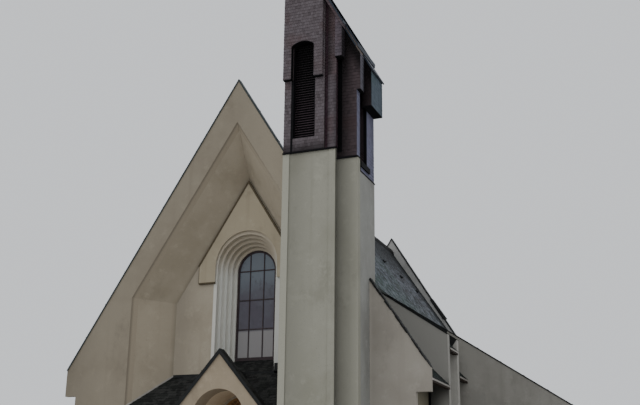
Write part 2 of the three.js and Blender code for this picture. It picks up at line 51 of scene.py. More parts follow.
# Bays before each wing: name, y0, y1, crest of the low plane, and if the flared plane comes first.
BAYS = (
    ("front", 0.25, 6.4, 15.1, False),
    ("middle", 6.8, 8.3, 17.05, True),
    ("rear", 8.7, 10.3, 15.85, False),
)
# Snow hooks: first place and spacing along the roof, distance from the axis, and where the row falls away.
HOOK_START, HOOK_PITCH, HOOK_COUNT = 3.85, 2.85, 8
HOOK_LINE, HOOK_BEND, HOOK_FALL = 1.86, 18.1, 0.1036
# Downpipes: axis, radius, foot and top, then the feet, radius and height of their brackets.
PIPE_X, PIPE_Y, PIPE_RADIUS, PIPE_FOOT, PIPE_TOP = 8.03, 6.2, 0.055, 0.18, 5.9
BRACKET_FEET, BRACKET_RADIUS, BRACKET_TALL = (1.2, 3.1, 5.0), 0.07, 0.06

# Walls that rise above the roofs: y0, y1, then the plane and the end of their crest.
FINS = ((6.4, 6.8), (8.3, 8.7))
FIN_CREST, FIN_END = (14.75, 0.68), 8.95
WING_WALL = (10.3, 10.7)
WING_CREST, WING_END = (14.75, 0.654), 15.5
# Where the flashing on the front of the wing's wall ends, behind the fins.
WING_FLASHING_END = 8.0
AISLE_FACE = 7.96
# Rear gable, and the band of its coping that is wider, by its distances from the axis.
REAR_WALL = (26.0, 26.4)
REAR_APEX, REAR_KNEE = 19.5, (4.62, 12.04)
REAR_JOINT, REAR_STEP = 2.95, 3.88

# Front frame and its recess.
FRAME_DEPTH = 0.25
LEFT_EAVE = (-8.97, 6.7)
GABLE_APEX = 21.2
RIGHT_EAVE = (9.77, 6.13)
RIGHT_RAKE = 1.48
# Slates bedded on the right rake: how far they rise over it and hang below it, at its top and foot.
VERGE_RISE, VERGE_DROP = (0.05, 0.04), (0.02, 0.005)
RECESS_DEPTH = 1.68
RECESS_HALF = (5.5, 3.88)
# Gabled panel over the window: half width, foot, shoulder, apex and front.
PANEL = (2.61, 11.06, 11.89, 16.08, 1.54)
PANEL_ARCH_HALF = 1.695

# Tower.
TOWER_LEFT, TOWER_STEP, TOWER_RIGHT = 3.34, 5.98, 7.01
TOWER_BACK = 0.83

# Lean-to roof: height at the face of the frame and at the back wall, and where its eave is.
LEAN_LOW, LEAN_HIGH, LEAN_EAVE = 4.8, 6.4, -0.1
SILL_BACK, SILL_HIGH = 2.889, 7.22
# Porch: planes of its coping and roof, the coping's half width, front and depth, and the roof's eave.
PORCH_COPING, PORCH_ROOF = (7.26, 1.172), (6.52, 1.172)
COPING_HALF, COPING_FRONT, COPING_DEPTH = 2.56, -0.89, 0.45
PORCH_BACK, PORCH_EAVE = -0.49, 2.25

# Window: half width of each step of the reveal, and the opening in the frame.
NICHE_HALVES = (1.637, 1.5, 1.36, 1.22, 1.085)
NICHE_STEP = 0.28
WINDOW_HALF, WINDOW_SILL, WINDOW_SPRING = 1.0, 7.36, 11.78
WINDOW_FRONT = 2.89
MULLION = 0.385
TRANSOMS = (8.8, 10.29, 11.8)

# Entrance.
FLOOR = 0.15
DOOR_FRONT, DOOR_HALF, DOOR_TOP, VAULT_SPRING = 1.78, 1.21, 3.0, 4.12

# Windows of the wings.
WING_FACE, WING_GLASS = 15.5, 15.2
WING_WINDOW_HALF, WING_WINDOW_SILL, WING_WINDOW_SPRING = 0.45, 1.3, 2.9
WING_WINDOWS = tuple(12.6 + 3.6 * i for i in range(4))

# Belfry: faces of the cladding, and the foot of each face with the places on its sides where it drops.
BELFRY_LEFT, BELFRY_RIGHT = 3.38, 6.97
BELFRY_FRONT, BELFRY_STEP, BELFRY_BACK = -1.76, -1.57, 0.87
FOOT_FRONT, FOOT_STEP, FOOT_BACK = 16.13, 15.65, 15.05
RIGHT_DROP, LEFT_DROP = -1.23, 0.53
# Sloping roof of the belfry: plane, thickness, sides and corner, and its front, step and back.
BELFRY_ROOF, BELFRY_ROOF_THICK = (33.95, 1.8), 0.32
TOP_LEFT, TOP_CORNER, TOP_RIGHT = 3.3, 6.4, 7.02
TOP_FRONT, TOP_STEP, TOP_BACK = -1.98, -1.6, 0.9
# Arched openings: both sides, sill, spring and rise.
LOUVRE = (3.84, 4.95, 16.8, 21.5, 0.25)
SIDE_LOUVRE = (-1.18, -0.22, 15.35, 20.25, 0.15)
LOUVRE_PITCH = 0.125
# Black strip on the front that paints the shadow line beside its left strip.
SHADOW_LINE = (3.73, 3.84)
GROOVE = (5.43, 5.6)
# Slot beside the column: both sides, foot and top.
SLOT = (6.02, 6.25, 15.9, 20.62)
HOOD_FRONT, HOOD_LEFT, HOOD_RIGHT, HOOD_BASE = -1.95, 3.36, 5.37, 19.8
# Arch cut from the foot of the front hood: both sides, foot, spring and rise.
HOOD_CUT = (3.77, 4.93, HOOD_BASE, 21.5, 0.22)
CORNER_HOOD = 6.36
CORNER_LEG, CORNER_LEG_BACK, CORNER_LEG_BASE = 7.15, -1.08, 18.95
SIDE_HOOD, SIDE_HOOD_FRONT, SIDE_HOOD_BASE, SIDE_HOOD_CREST = 7.42, -0.76, 18.4, 33.6

# Tiles: height of a course, width of one tile and how far its foot stands off.
SLATE = (0.2, 0.24, 0.014)
SHINGLE = (0.16, 0.13, 0.014)


class Plane:
    """A flat face of the building with its own u and v, as seen from outside, and w out of it."""

    def __init__(self, origin, across, up):
        self.origin = Vector(origin)
        self.across = Vector(across)
        self.up = Vector(up).normalized()
        self.out = self.across.cross(self.up)

    def at(self, u, v, w=0.0):
        return self.origin + self.across * u + self.up * v + self.out * w


UP = (0, 0, 1)


def front_face(y):
    return Plane((0, y, 0), (1, 0, 0), UP)


def back_face(y):
    return Plane((0, y, 0), (-1, 0, 0), UP)


def side_face(sign, x):
    """Upright face at x that looks to +x or -x."""
    return Plane((x, 0, 0), (0, sign, 0), UP)


def roof_face(sign, roof):
    """Face of a roof that falls to one side. v is 0 on the building's axis and negative down the slope."""
    crest, slope = roof
    return Plane((0, 0, crest), (0, sign, 0), (-sign, 0, slope))


class Shape:
    """Vertices and faces of one piece, in the part's frame."""

    def __init__(self):
        self.vertices = []
        self.faces = []

    def add(self, vertices, faces):
        start = len(self.vertices)
        self.vertices += [tuple(v) for v in vertices]
        self.faces += [[start + i for i in face] for face in faces]

    def prism(self, outline, offset):
        """A flat outline carried along offset, closed at both ends."""
        offset = Vector(offset)
        near = [Vector(p) for p in outline]
        count = len(near)
        normal = sum((near[i - 1].cross(near[i]) for i in range(count)), Vector())
        if normal.dot(offset) > 0:
            near.reverse()
        far = [p + offset for p in near]
        sides = [[(i + 1) % count, i, i + count, (i + 1) % count + count] for i in range(count)]
        self.add(near + far, [list(range(count)), list(range(2 * count - 1, count - 1, -1)), *sides])

    def plate(self, plane, outline, w0, w1):
        """An outline on a plane, from w0 to w1."""
        self.prism([plane.at(u, v, w0) for u, v in outline], plane.out * (w1 - w0))

    def box(self, plane, u0, u1, v0, v1, w0, w1):
        self.plate(plane, rectangle(u0, u1, v0, v1), w0, w1)

    def strip(self, plane, path, low, high, w0, w1, closed=False):
        """Strip along a path on a plane, between two distances to the left of it."""
        near = offset_path(path, low, closed)
        far = offset_path(path, high, closed)
        if closed:
            near.append(near[0])
            far.append(far[0])
        for i in range(len(near) - 1):
            self.plate(plane, [near[i], near[i + 1], far[i + 1], far[i]], w0, w1)

    def bar(self, plane, start, end, width, w0, w1):
        self.strip(plane, [start, end], -width / 2, width / 2, w0, w1)

    def piece(self, name, material, slot):
        mesh = bpy.data.meshes.new(name)
        mesh.from_pydata(self.vertices, [], self.faces)
        mesh.materials.append(material)
        mesh.update()
        thing = bpy.data.objects.new(name, mesh)
        bpy.context.scene.collection.objects.link(thing)
        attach(thing, "root")


def offset_path(path, distance, closed=False):
    """The path moved to the left of its direction, with mitred corners."""
    points = [Vector(p) for p in path]
    ends = points[1:] + points[:1] if closed else points[1:]
    sides = []
    for a, b in zip(points, ends):
        run = (b - a).normalized()
        sides.append(Vector((-run.y, run.x)))
    moved = []
    for i, point in enumerate(points):
        before = sides[i - 1] if closed or i > 0 else sides[0]
        after = sides[i] if i < len(sides) else sides[-1]
        middle = (before + after).normalized()
        moved.append(tuple(point + middle * (distance / middle.dot(before))))
    return moved


def arch(centre, half, base, spring, rise=None, steps=16):
    """Outline of an opening with a round head, anticlockwise from its lower left corner."""
    rise = rise or half
    radius = (half * half + rise * rise) / (2 * rise)
    middle = spring + rise - radius
    reach = math.asin(min(1.0, half / radius))
    head = [reach - 2 * reach * i / steps for i in range(steps + 1)]
    curve = [(centre + radius * math.sin(a), middle + radius * math.cos(a)) for a in head]
    return [(centre - half, base), (centre + half, base), *curve]


def chords(outline, direction, spacing, shift=0.0):
    """Pieces inside the outline of parallel lines that lie spacing apart."""
    run = Vector(direction).normalized()
    across = Vector((-run.y, run.x))
    levels = [across.dot(Vector(p)) for p in outline]
    found = []
    level = (math.floor((min(levels) - shift) / spacing) + 1) * spacing + shift
    while level < max(levels):
        hits = []
        for i, a in enumerate(levels):
            j = (i + 1) % len(levels)
            if (a - level) * (levels[j] - level) < 0:
                share = (level - a) / (levels[j] - a)
                hits.append(Vector(outline[i]).lerp(Vector(outline[j]), share))
        hits.sort(key=run.dot)
        found += list(zip(hits[::2], hits[1::2]))
        level += spacing
    return found


def rectangle(u0, u1, v0, v1):
    return [(u0, v0), (u1, v0), (u1, v1), (u0, v1)]


def stepped(*places):
    """Outline with square corners: its first u and v, then the u and the v of each turn after them."""
    across, up = places[::2], places[1::2]
    following = across[1:] + across[:1]
    return [corner for u, v, after in zip(across, up, following) for corner in ((u, v), (after, v))]


def mirrored(path):
    """The path on the other side of the building's axis, still from left to right."""
    return [(-x, z) for x, z in reversed(path)]


def crossing(a, b):
    """Where two roof planes meet, from the axis."""
    return (a[0] - b[0]) / (a[1] - b[1])


def height(roof, x):
    return roof[0] - roof[1] * x


def slabs(loops):
    """Cuts the area inside the loops into trapezoids: v0, left and right at v0, v1, left and right at v1."""
    edges = []
    for loop in loops:
        for a, b in zip(loop, loop[1:] + loop[:1]):
            if abs(a[1] - b[1]) > 1e-6:
                edges.append((a, b) if a[1] < b[1] else (b, a))

    def at(edge, v):
        (ua, va), (ub, vb) = edge
        return ua + (ub - ua) * (v - va) / (vb - va)

    levels = sorted({round(v, 5) for loop in loops for _, v in loop})
    for low, high in zip(levels, levels[1:]):
        middle = (low + high) / 2
        crossed = sorted((e for e in edges if e[0][1] < middle < e[1][1]), key=lambda e: at(e, middle))
        for left, right in zip(crossed[::2], crossed[1::2]):
            yield low, at(left, low), at(right, low), high, at(left, high), at(right, high)


def tile_area(shape, plane, loops, tile, seed):
    """Overlapping tiles on a plane, inside the loops."""
    course, width, lift = tile
    chance = random.Random(seed)
    joint, least = 0.005, 0.01
    for low, left0, right0, high, left1, right1 in slabs(loops):
        row = math.floor(low / course + 1e-6)
        while row * course < high - 1e-6:
            foot = row * course
            v0, v1 = max(low, foot), min(high, foot + course)
            row += 1
            if v1 - v0 < least:
                continue
            s0, s1 = (v0 - low) / (high - low), (v1 - low) / (high - low)
            a0, b0 = left0 + (left1 - left0) * s0, right0 + (right1 - right0) * s0
            a1, b1 = left0 + (left1 - left0) * s1, right0 + (right1 - right0) * s1
            shift = width * (0.5 * (row % 2) + 0.06 * math.sin(row * 2.3))
            first = math.floor((min(a0, a1) - shift) / width)
            last = math.ceil((max(b0, b1) - shift) / width)
            for k in range(first, last):
                u0, u1 = shift + k * width + joint / 2, shift + (k + 1) * width - joint / 2
                thick = lift * chance.uniform(0.75, 1.25)
                sag = chance.uniform(-0.006, 0.006) if v0 == foot else 0.0
                corners = [
                    (min(max(u0, a0), b0), v0 + sag),
                    (min(max(u1, a0), b0), v0 + sag),
                    (min(max(u1, a1), b1), v1),
                    (min(max(u0, a1), b1), v1),
                ]
                if corners[1][0] - corners[0][0] < least and corners[2][0] - corners[3][0] < least:
                    continue
                base = [plane.at(u, v) for u, v in corners]
                top = [plane.at(u, v, thick * (1.15 - (v - foot) / course)) for u, v in corners]
                faces = [[4, 5, 6, 7], [0, 4, 7, 3], [1, 2, 6, 5]]
                if v0 == foot:
                    faces.append([0, 1, 5, 4])
                shape.add(base + top, faces)


class Look:
    """Nodes of one material, which are placed by the part's own coordinates."""

    def __init__(self, name, colour, roughness, metallic=0.0, shine=0.2):
        self.material = bpy.data.materials.new(name)
        self.material.use_nodes = True
        self.nodes = self.material.node_tree.nodes
        self.links = self.material.node_tree.links
        self.shader = self.nodes["Principled BSDF"].inputs
        self.shader["Base Color"].default_value = (*colour, 1)
        self.shader["Roughness"].default_value = roughness
        self.shader["Metallic"].default_value = metallic
        self.shader["Specular IOR Level"].default_value = shine
        self.place = self.add("TexCoord")["Object"]
        self.colour = (*colour, 1)
        self.normal = None

    def add(self, kind, inputs=None, **settings):
        """Outputs of a new node. Each input is a value, or the output of another node."""
        node = self.nodes.new("ShaderNode" + kind)
        for name, value in settings.items():
            setattr(node, name, value)
        for key, value in (inputs or {}).items():
            if isinstance(value, bpy.types.NodeSocket):
                self.links.new(value, node.inputs[key])
            else:
                node.inputs[key].default_value = value
        return node.outputs

    def noise(self, scale, detail, stretch=(1, 1, 1), rough=0.55):
        place = self.add("Mapping", {"Vector": self.place, "Scale": stretch})["Vector"]
        inputs = {"Vector": place, "Scale": scale, "Detail": detail, "Roughness": rough}
        return self.add("TexNoise", inputs)["Fac"]

    def ramp(self, value, low, high, most=1.0):
        """The value spread from 0 at low to most at high."""
        inputs = {"Value": value, "From Min": low, "From Max": high, "To Max": most}
        return self.add("MapRange", inputs, interpolation_type="SMOOTHSTEP")["Result"]

    def tint(self, colour, amount):
        """Blends another colour in where amount is high."""
        inputs = {0: amount, 6: self.colour, 7: (*colour, 1)}
        self.colour = self.add("Mix", inputs, data_type="RGBA")[2]
        self.links.new(self.colour, self.shader["Base Color"])

    def mottle(self, colour, noise, ramp):
        """Blends another colour in where a noise is high."""
        self.tint(colour, self.ramp(self.noise(*noise), *ramp))

    def bump(self, value, depth, strength=1.0):
        inputs = {"Height": value, "Distance": depth, "Strength": strength}
        if self.normal:
            inputs["Normal"] = self.normal
        self.normal = self.add("Bump", inputs)["Normal"]
        self.links.new(self.normal, self.shader["Normal"])

    def gloss(self, value, low, high):
        """Roughness that runs from low to high with a value."""
        rough = self.add("MapRange", {"Value": value, "To Min": low, "To Max": high})["Result"]
        self.links.new(rough, self.shader["Roughness"])

    def region(self, axis, start, full, most=1.0):
        """0 before start on an axis, and most from full on."""
        return self.ramp(self.add("SeparateXYZ", {"Vector": self.place})[axis], start, full, most)

    def along(self, direction):
        """How far a point lies along a direction."""
        return self.add("VectorMath", {0: self.place, 1: direction}, operation="DOT_PRODUCT")["Value"]

    def both(self, first, second):
        return self.add("Math", {0: first, 1: second}, operation="MULTIPLY")["Value"]

    def fading(self, axis, start, end, most):
        """Starts with most at start and dies out towards end."""
        side = math.copysign(0.02, end - start)
        return self.both(self.region(axis, start - side, start), self.region(axis, end, start, most))

    def sideways(self):
        """1 on faces that look to the left or right."""
        across = self.add("SeparateXYZ", {"Vector": self.add("TexCoord")["Normal"]})["X"]
        return self.ramp(self.add("Math", {0: across}, operation="ABSOLUTE")["Value"], 0.3, 0.7)

    def each_tile(self):
        return self.add("NewGeometry")["Random Per Island"]


# Places where the looks change, each where a change starts and where it is full. Painted shade fills the
# niche's head, the first fin under the bay's eave, the slates by the rear gable and the belfry's step beside
# the corner hood.
NICHE_LEFT, NICHE_HEAD_SHADE = (-1.6, -1.66), (11.2, 12.8)
PIER_TOP, PIER_SHADE = (6.6, 5.9), (4.9, 6.1)
MOSS_HEIGHTS, RIDGE_HEIGHTS = (14.2, 12.2), (14.5, 17.8)
BROWN_LENGTH, REAR_GABLE_SHADE = (13, 22), (23.6, 25.2)
HOOD_SHADOW_SIDE, HOOD_SHADOW_HEIGHTS = (6.9, 6.3), (18.8, 20.2)


def toned(colour, tone):
    return tuple(c * tone for c in colour)


def coat_look(name, colour, shade, light, corners=(), behind=None):
    """Rough render with patches, rain runs, a foot darker with splashed dirt and painted shade, and the
    marks of the float.

    Each corner is painted light or shade: an axis, the place on it where it starts, where it ends, how
    strong it is and how dark or pale it makes the coat. The colour behind covers what lies behind the front
    face.
    """
    look = Look(name, colour, 0.92)
    look.mottle(shade, (0.35, 4), (0.42, 0.72))
    look.mottle(light, (0.9, 4), (0.55, 0.85))
    look.mottle(shade, (1.0, 4, (2.2, 2.2, 0.09)), (0.52, 0.9))
    look.mottle(toned(shade, 0.85), (0.6, 5, (1, 1, 0.6), 0.7), (0.53, 0.7, 0.6))
    look.mottle(toned(light, 1.08), (1.6, 5, (1, 1, 1), 0.7), (0.54, 0.7, 0.45))
    if behind:
        look.tint(behind, look.region("Y", 0.005, 0.02))
    # Painted light and shade, one tint for each corner.
    for axis, start, end, most, tone in corners:
        look.tint(toned(colour, tone), look.fading(axis, start, end, most))
    dirt_and_foot_shade = toned(shade, 0.72)
    look.mottle(dirt_and_foot_shade, (24, 3), (0.6, 0.8))
    # Darker towards the foot: splashed dirt, and painted shade against the light that the floor throws up.
    look.tint(dirt_and_foot_shade, look.region("Z", 0.9, 0.1))
    look.bump(look.noise(7, 3), 0.012, 0.35)
    look.bump(look.noise(65, 3), 0.004, 0.6)
    look.gloss(look.noise(12, 2), 0.85, 1.0)
    return look


def coat(*values):
    return coat_look(*values).material


def niche(*values):
    """Render of the panel and whiter paint on the steps of the window's niche, with painted light on the
    steps' side faces, a paler band at its left and painted shade in its head.
    """
    look = coat_look(*values)
    inside = look.region("Y", PANEL[4] + 0.01, PANEL[4] + 0.03)
    look.tint((0.55, 0.55, 0.51), inside)
    # Painted light on the steps' side faces.
    look.tint((0.8, 0.79, 0.73), look.both(inside, look.sideways()))
    look.tint((0.58, 0.57, 0.52), look.both(inside, look.region("X", *NICHE_LEFT)))
    # Painted shade in the niche's head.
    look.tint((0.44, 0.385, 0.3), look.both(inside, look.region("Z", *NICHE_HEAD_SHADE)))
    return look.material


def pier(name, colour, shade, light):
    """Render of the fins. The first is darker, and its front has painted shade under the bay's eave."""
    look = coat_look(name, colour, shade, light)
    front, back = FINS[0]
    # Painted shade on the first fin's front, under the bay's eave.
    under = look.both(look.region("Y", front + 0.1, front + 0.05), look.region("Z", *PIER_TOP))
    dark = toned(colour, 0.12)
    look.tint(toned(colour, 0.77), look.region("Y", back + 0.1, back + 0.05))
    look.tint(dark, look.both(under, look.region("X", FIN_END - 0.05, AISLE_FACE, 0.85)))
    look.tint(dark, look.both(under, look.region("Z", *PIER_SHADE, 0.8)))
    return look.material


def slates(name, colour, pale, moss, rough=0.6, shine=0.3):
    """Riven slates, each with its own tone, darker in patches and along a ridge, and with painted shade at
    the rear.
    """
    look = Look(name, colour, rough, shine=shine)
    tile = look.each_tile()
    dark = toned(colour, 0.3)
    spots = look.noise(1.7, 6, rough=0.8)
    look.mottle(moss, (0.5, 4), (0.45, 0.7, 0.8))
    look.tint(moss, look.region("Z", *MOSS_HEIGHTS, 0.6))
    look.tint((0.055, 0.036, 0.044), look.region("Y", *BROWN_LENGTH, 0.6))
    look.tint(toned(pale, 1.3), look.ramp(tile, 0.55, 0.8, 0.75))
    look.tint(dark, look.ramp(tile, 0.45, 0.2, 0.75))
    look.tint(toned(pale, 1.3), look.ramp(spots, 0.54, 0.6, 0.8))
    look.tint(dark, look.ramp(spots, 0.48, 0.42, 0.9))
    look.tint(toned(colour, 0.15), look.region("Z", *RIDGE_HEIGHTS, 0.93))
    # Painted shade in front of the rear gable.
    look.tint(toned(colour, 0.1), look.region("Y", *REAR_GABLE_SHADE, 0.9))
    look.mottle(toned(pale, 1.5), (30, 3), (0.62, 0.8))
    look.bump(look.noise(28, 4, (1, 1, 2.5)), 0.004, 0.7)
    look.gloss(look.noise(6, 3), rough - 0.15, min(1.0, rough + 0.2))
    return look.material


def shingles(name, colour, pale, red, painted_shades=(), under_roof=False):
    """Weathered wooden shingles with grain that runs down them.

    Each painted shade is an axis, the place on it where it starts, where it ends and how strong it is.
    """
    look = Look(name, colour, 0.75, shine=0.1)
    tile = look.each_tile()
    look.tint(pale, look.ramp(tile, 0.3, 1.0, 0.7))
    look.tint(toned(colour, 0.65), look.ramp(tile, 0.25, 0.0, 0.7))
    look.mottle(red, (0.6, 3), (0.5, 0.8))
    # Painted shade, one tint for each entry.
    for axis, start, end, most in painted_shades:
        look.tint(toned(colour, 0.08), look.fading(axis, start, end, most))
    # Painted shadow under the belfry's roof, and beside the corner hood.
    if under_roof:
        crest, slope = BELFRY_ROOF
        beside_hood = look.both(look.region("X", *HOOD_SHADOW_SIDE), look.region("Z", *HOOD_SHADOW_HEIGHTS, 0.75))
        below_roof = look.ramp(look.along((slope, 0, 1)), crest - 1.75, crest - 0.65, 0.95)
        look.tint(toned(colour, 0.05), beside_hood)
        look.tint(toned(colour, 0.05), below_roof)
    grain = look.noise(60, 3, (1, 1, 0.08))
    look.tint(toned(colour, 0.7), look.ramp(grain, 0.55, 0.8))
    look.bump(grain, 0.003, 0.6)
    look.gloss(look.noise(9, 2), 0.6, 0.9)
    return look.material


def metal(name, colour, rough, shine=0.3):
    """Coated sheet metal with faint dents and weathering."""
    look = Look(name, colour, rough, 0.35, shine)
    look.mottle(toned(colour, 1.7), (3, 4), (0.5, 0.8))
    look.mottle(toned(colour, 0.6), (40, 2), (0.6, 0.85))
    look.bump(look.noise(5, 2), 0.004, 0.4)
    look.gloss(look.noise(14, 3), rough - 0.12, rough + 0.2)
    return look.material


def boards(name, colour, dark, along, light_and_shade_tones=()):
    """Stained boards. along is the axis that the grain and the joints follow.

    Each tone is painted light or shade: an axis, the place on it where the tone starts, where it ends, its
    strength and its colour.
    """
    look = Look(name, colour, 0.7)
    stretch = {"X": (0.12, 1, 1), "Y": (1, 0.12, 1), "Z": (1, 1, 0.12)}[along]
    grain = look.noise(35, 4, stretch)
    look.tint(dark, look.ramp(grain, 0.45, 0.75))
    look.mottle(toned(colour, 1.35), (2.2, 3, stretch), (0.55, 0.8))
    # Painted light and shade, one tint for each tone.
    for axis, start, end, most, tone in light_and_shade_tones:
        look.tint(tone, look.fading(axis, start, end, most))
    look.bump(grain, 0.002, 0.6)
    look.gloss(grain, 0.55, 0.85)
    return look.material


def glass(name, colour, sky, pale):
    """Dark panes that show a dim room, with a painted reflection of the sky in patches, streaks and the
    upper panes, and paler lower ones.
    """
    look = Look(name, colour, 0.1, shine=0.6)
    low, middle, high = TRANSOMS
    streaks = look.noise(1.1, 5, (1, 1, 0.7), 0.7)
    # Painted reflection of the sky, in patches, in the upper panes and in streaks.
    look.mottle(sky, (0.9, 2), (0.45, 0.8, 0.25))
    look.tint(sky, look.region("Z", middle - 0.09, high - 0.1, 0.9))
    look.tint(toned(colour, 0.5), look.ramp(streaks, 0.5, 0.3, 0.7))
    look.tint(toned(sky, 0.8), look.ramp(streaks, 0.55, 0.75, 0.6))
    look.tint(pale, look.region("Z", low, low - 0.15, 0.85))
    look.bump(look.noise(1.6, 2), 0.01, 0.25)
    look.gloss(look.noise(5, 2), 0.06, 0.18)
    return look.material


# Coats: colour, shade of the patches, light of the patches, then the corners of painted light and shade, and
# the colour behind.
# Painted shade on the jambs just behind the front face and towards the outer left edge; painted light from
# the axis to the tower, against the tower's shade.
FRONT_COAT = coat(
    "front_render", (0.2565, 0.2244, 0.1722), (0.216, 0.1848, 0.1394), (0.2835, 0.2508, 0.1927),
    [("Y", 0.02, 0.12, 0.45, 0.25), ("X", TOWER_LEFT, 0, 1, 1.42), ("X", -9.1, -6.5, 0.22, 0.25)],
    (0.315, 0.2684, 0.2009),
)
# Painted light beside the tower, against the tower's shade on this wall.
RIGHT_COAT = coat(
    "front_render_right", (0.314, 0.289, 0.249), (0.266, 0.242, 0.207), (0.342, 0.317, 0.276),
    [("X", TOWER_RIGHT, 7.2, 0.9, 1.13)],
)
# Painted shade deep in the recess.
RECESS_COAT = coat(
    "recess_render", (0.36, 0.3119, 0.2372), (0.3, 0.2574, 0.1906), (0.4, 0.3465, 0.2651),
    [("Y", RECESS_DEPTH, 1.5, 0.3, 0.25)],
)
# Painted shade on the back wall by the recess's left jamb.
BACK_COAT = coat(
    "back_render", (0.3774, 0.3315, 0.2592), (0.3162, 0.2754, 0.2112), (0.4182, 0.3723, 0.288),
    [("X", -RECESS_HALF[1], -2.0, 0.3, 0.25)],
)
NICHE_COAT = niche(
    "window_surround_render", (0.3696, 0.3187, 0.231), (0.3036, 0.2592, 0.1848), (0.4048, 0.357, 0.2656),
)
PORCH_COAT = coat("porch_render", (0.357, 0.293, 0.213), (0.291, 0.239, 0.172), (0.395, 0.329, 0.243))
VAULT_COAT = coat("vault_render", (0.713, 0.598, 0.44), (0.6325, 0.5175, 0.374), (0.759, 0.644, 0.495))
TOWER_COAT = coat("tower_render", (0.256, 0.256, 0.2365), (0.216, 0.212, 0.195), (0.288, 0.284, 0.2656))
# Painted light on the left pilaster, painted shadow right of it, and painted shade on the set-back step.
TOWER_FRONT_COAT = coat(
    "tower_front_render", (0.3116, 0.3036, 0.2508), (0.2651, 0.2576, 0.2068), (0.3488, 0.3404, 0.2816),
    [("X", 3.66, 0, 1, 1.15), ("X", 3.67, 5.2, 0.3, 0.25), ("X", TOWER_STEP, TOWER_RIGHT + 0.4, 0.7, 0.25)],
)
SIDE_COAT = coat("side_render", (0.267, 0.2565, 0.2288), (0.2136, 0.2025, 0.1804), (0.2937, 0.2835, 0.2552))
REAR_COAT = coat("rear_render", (0.34, 0.338, 0.324), (0.28, 0.2756, 0.2646), (0.37, 0.3692, 0.3564))
# Painted shade at the top of the aisle walls under the eaves, and towards the first fin.
AISLE_COAT = coat(
    "aisle_render", (0.21, 0.19, 0.135), (0.17, 0.15, 0.105), (0.24, 0.22, 0.165),
    [("Z", 6.8, 4.6, 0.85, 0.2), ("Z", 6.8, 5.45, 0.9, 0.2), ("Y", FINS[0][0], 4.5, 0.35, 0.2)],
)
PIER_COAT = pier("pier_render", (0.375, 0.363, 0.33), (0.31, 0.297, 0.27), (0.41, 0.4, 0.37))
CONCRETE = coat("concrete", (0.3, 0.29, 0.27), (0.24, 0.23, 0.21), (0.36, 0.35, 0.33))

# Slates: colour, pale ones and moss.
SLATES = slates("slate", (0.068, 0.082, 0.096), (0.119, 0.137, 0.158), (0.043, 0.094, 0.066), shine=0.12)
# Near black: painted shade on the low roofs of the bays.
SHADED_BAY_SLATES = slates(
    "bay_slate", (0.006, 0.011, 0.0095), (0.013, 0.021, 0.018), (0.006, 0.013, 0.01), 0.8, 0.2,
)
DARK_SLATES = slates(
    "dark_slate", (0.0096, 0.0098, 0.0098), (0.0204, 0.0207, 0.0196), (0.0096, 0.0126, 0.0103), 0.8,
)
BELFRY_SLATES = slates(
    "belfry_slate", (0.004, 0.012, 0.026), (0.008, 0.022, 0.045), (0.004, 0.012, 0.022), 0.85, 0.1,
)

# Shingles: colour, pale ones and worn ones, then painted shades, and True where painted shadow falls under
# the belfry's roof.
BROWNS = (0.0527, 0.039, 0.0421), (0.068, 0.0495, 0.053), (0.0553, 0.03, 0.0296)
# Painted shade just above the cladding's foot.
SHINGLES = shingles(
    "shingle", (0.106, 0.0886, 0.0952), (0.1431, 0.1242, 0.1344), (0.1007, 0.0648, 0.065),
    [("Z", FOOT_FRONT - 0.02, FOOT_FRONT + 0.62, 0.75)],
)
# Paler and bluer than the front: painted sky light on the belfry's right face, with painted shade towards
# its back.
SIDE_SHINGLES = shingles(
    "side_shingle", (0.143, 0.1437, 0.204), (0.176, 0.1782, 0.252), (0.132, 0.1265, 0.18),
    [("Y", 1.2, 0.1, 0.5)],
)
# Painted shade on the corner hood's right side.
CORNER_SHINGLES = shingles(
    "corner_shingle", (0.097, 0.081, 0.095), (0.13, 0.109, 0.128), (0.104, 0.065, 0.07),
    [("X", CORNER_HOOD - 0.005, CORNER_HOOD + 2, 0.85), ("X", CORNER_HOOD - 0.01, 6.05, 0.3)],
)
# Painted shade on the set-back step and on the side hood's front, darkest at their left, with painted shadow
# under the roof.
BROWN_SHINGLES = shingles("brown_shingle", *BROWNS, [("X", SLOT[0], 7.0, 0.95)], True)
HOOD_SHINGLES = shingles("hood_front_shingle", *BROWNS, [("X", BELFRY_RIGHT, SIDE_HOOD + 0.5, 0.9)], True)
VERGE_SHINGLES = shingles("verge_shingle", (0.085, 0.066, 0.073), (0.11, 0.088, 0.098), (0.09, 0.052, 0.052))
# Painted shade at the back of the leg's right side.
LEG_SHINGLES = shingles(
    "leg_shingle", (0.105, 0.1, 0.12), (0.13, 0.125, 0.15), (0.1, 0.09, 0.11),
    [("Y", CORNER_LEG_BACK, -1.4, 0.8)],
)
# Painted shade on the column beside the groove and beside the slot.
COLUMN_SHINGLES = shingles(
    "column_shingle", (0.0936, 0.078, 0.0858), (0.12, 0.1014, 0.1118), (0.09, 0.0546, 0.0572),
    [("X", GROOVE[1] - 0.01, 5.75, 0.5), ("X", SLOT[0] + 0.01, 5.85, 0.45)],
)
# Painted shade on the column's upper part beside the groove.
SHADED_SHINGLES = shingles(
    "shaded_shingle", (0.0936, 0.0725, 0.078), (0.12, 0.095, 0.104), (0.102, 0.0575, 0.0572),
    [("X", GROOVE[1] - 0.01, 5.98, 0.75)],
)
# Painted shade towards the back of the side hood's right face.
GREEN_SHINGLES = shingles(
    "green_shingle", (0.0825, 0.1063, 0.13), (0.1045, 0.135, 0.1625), (0.066, 0.0975, 0.104),
    [("Y", 0.95, 0.4, 0.35)],
)
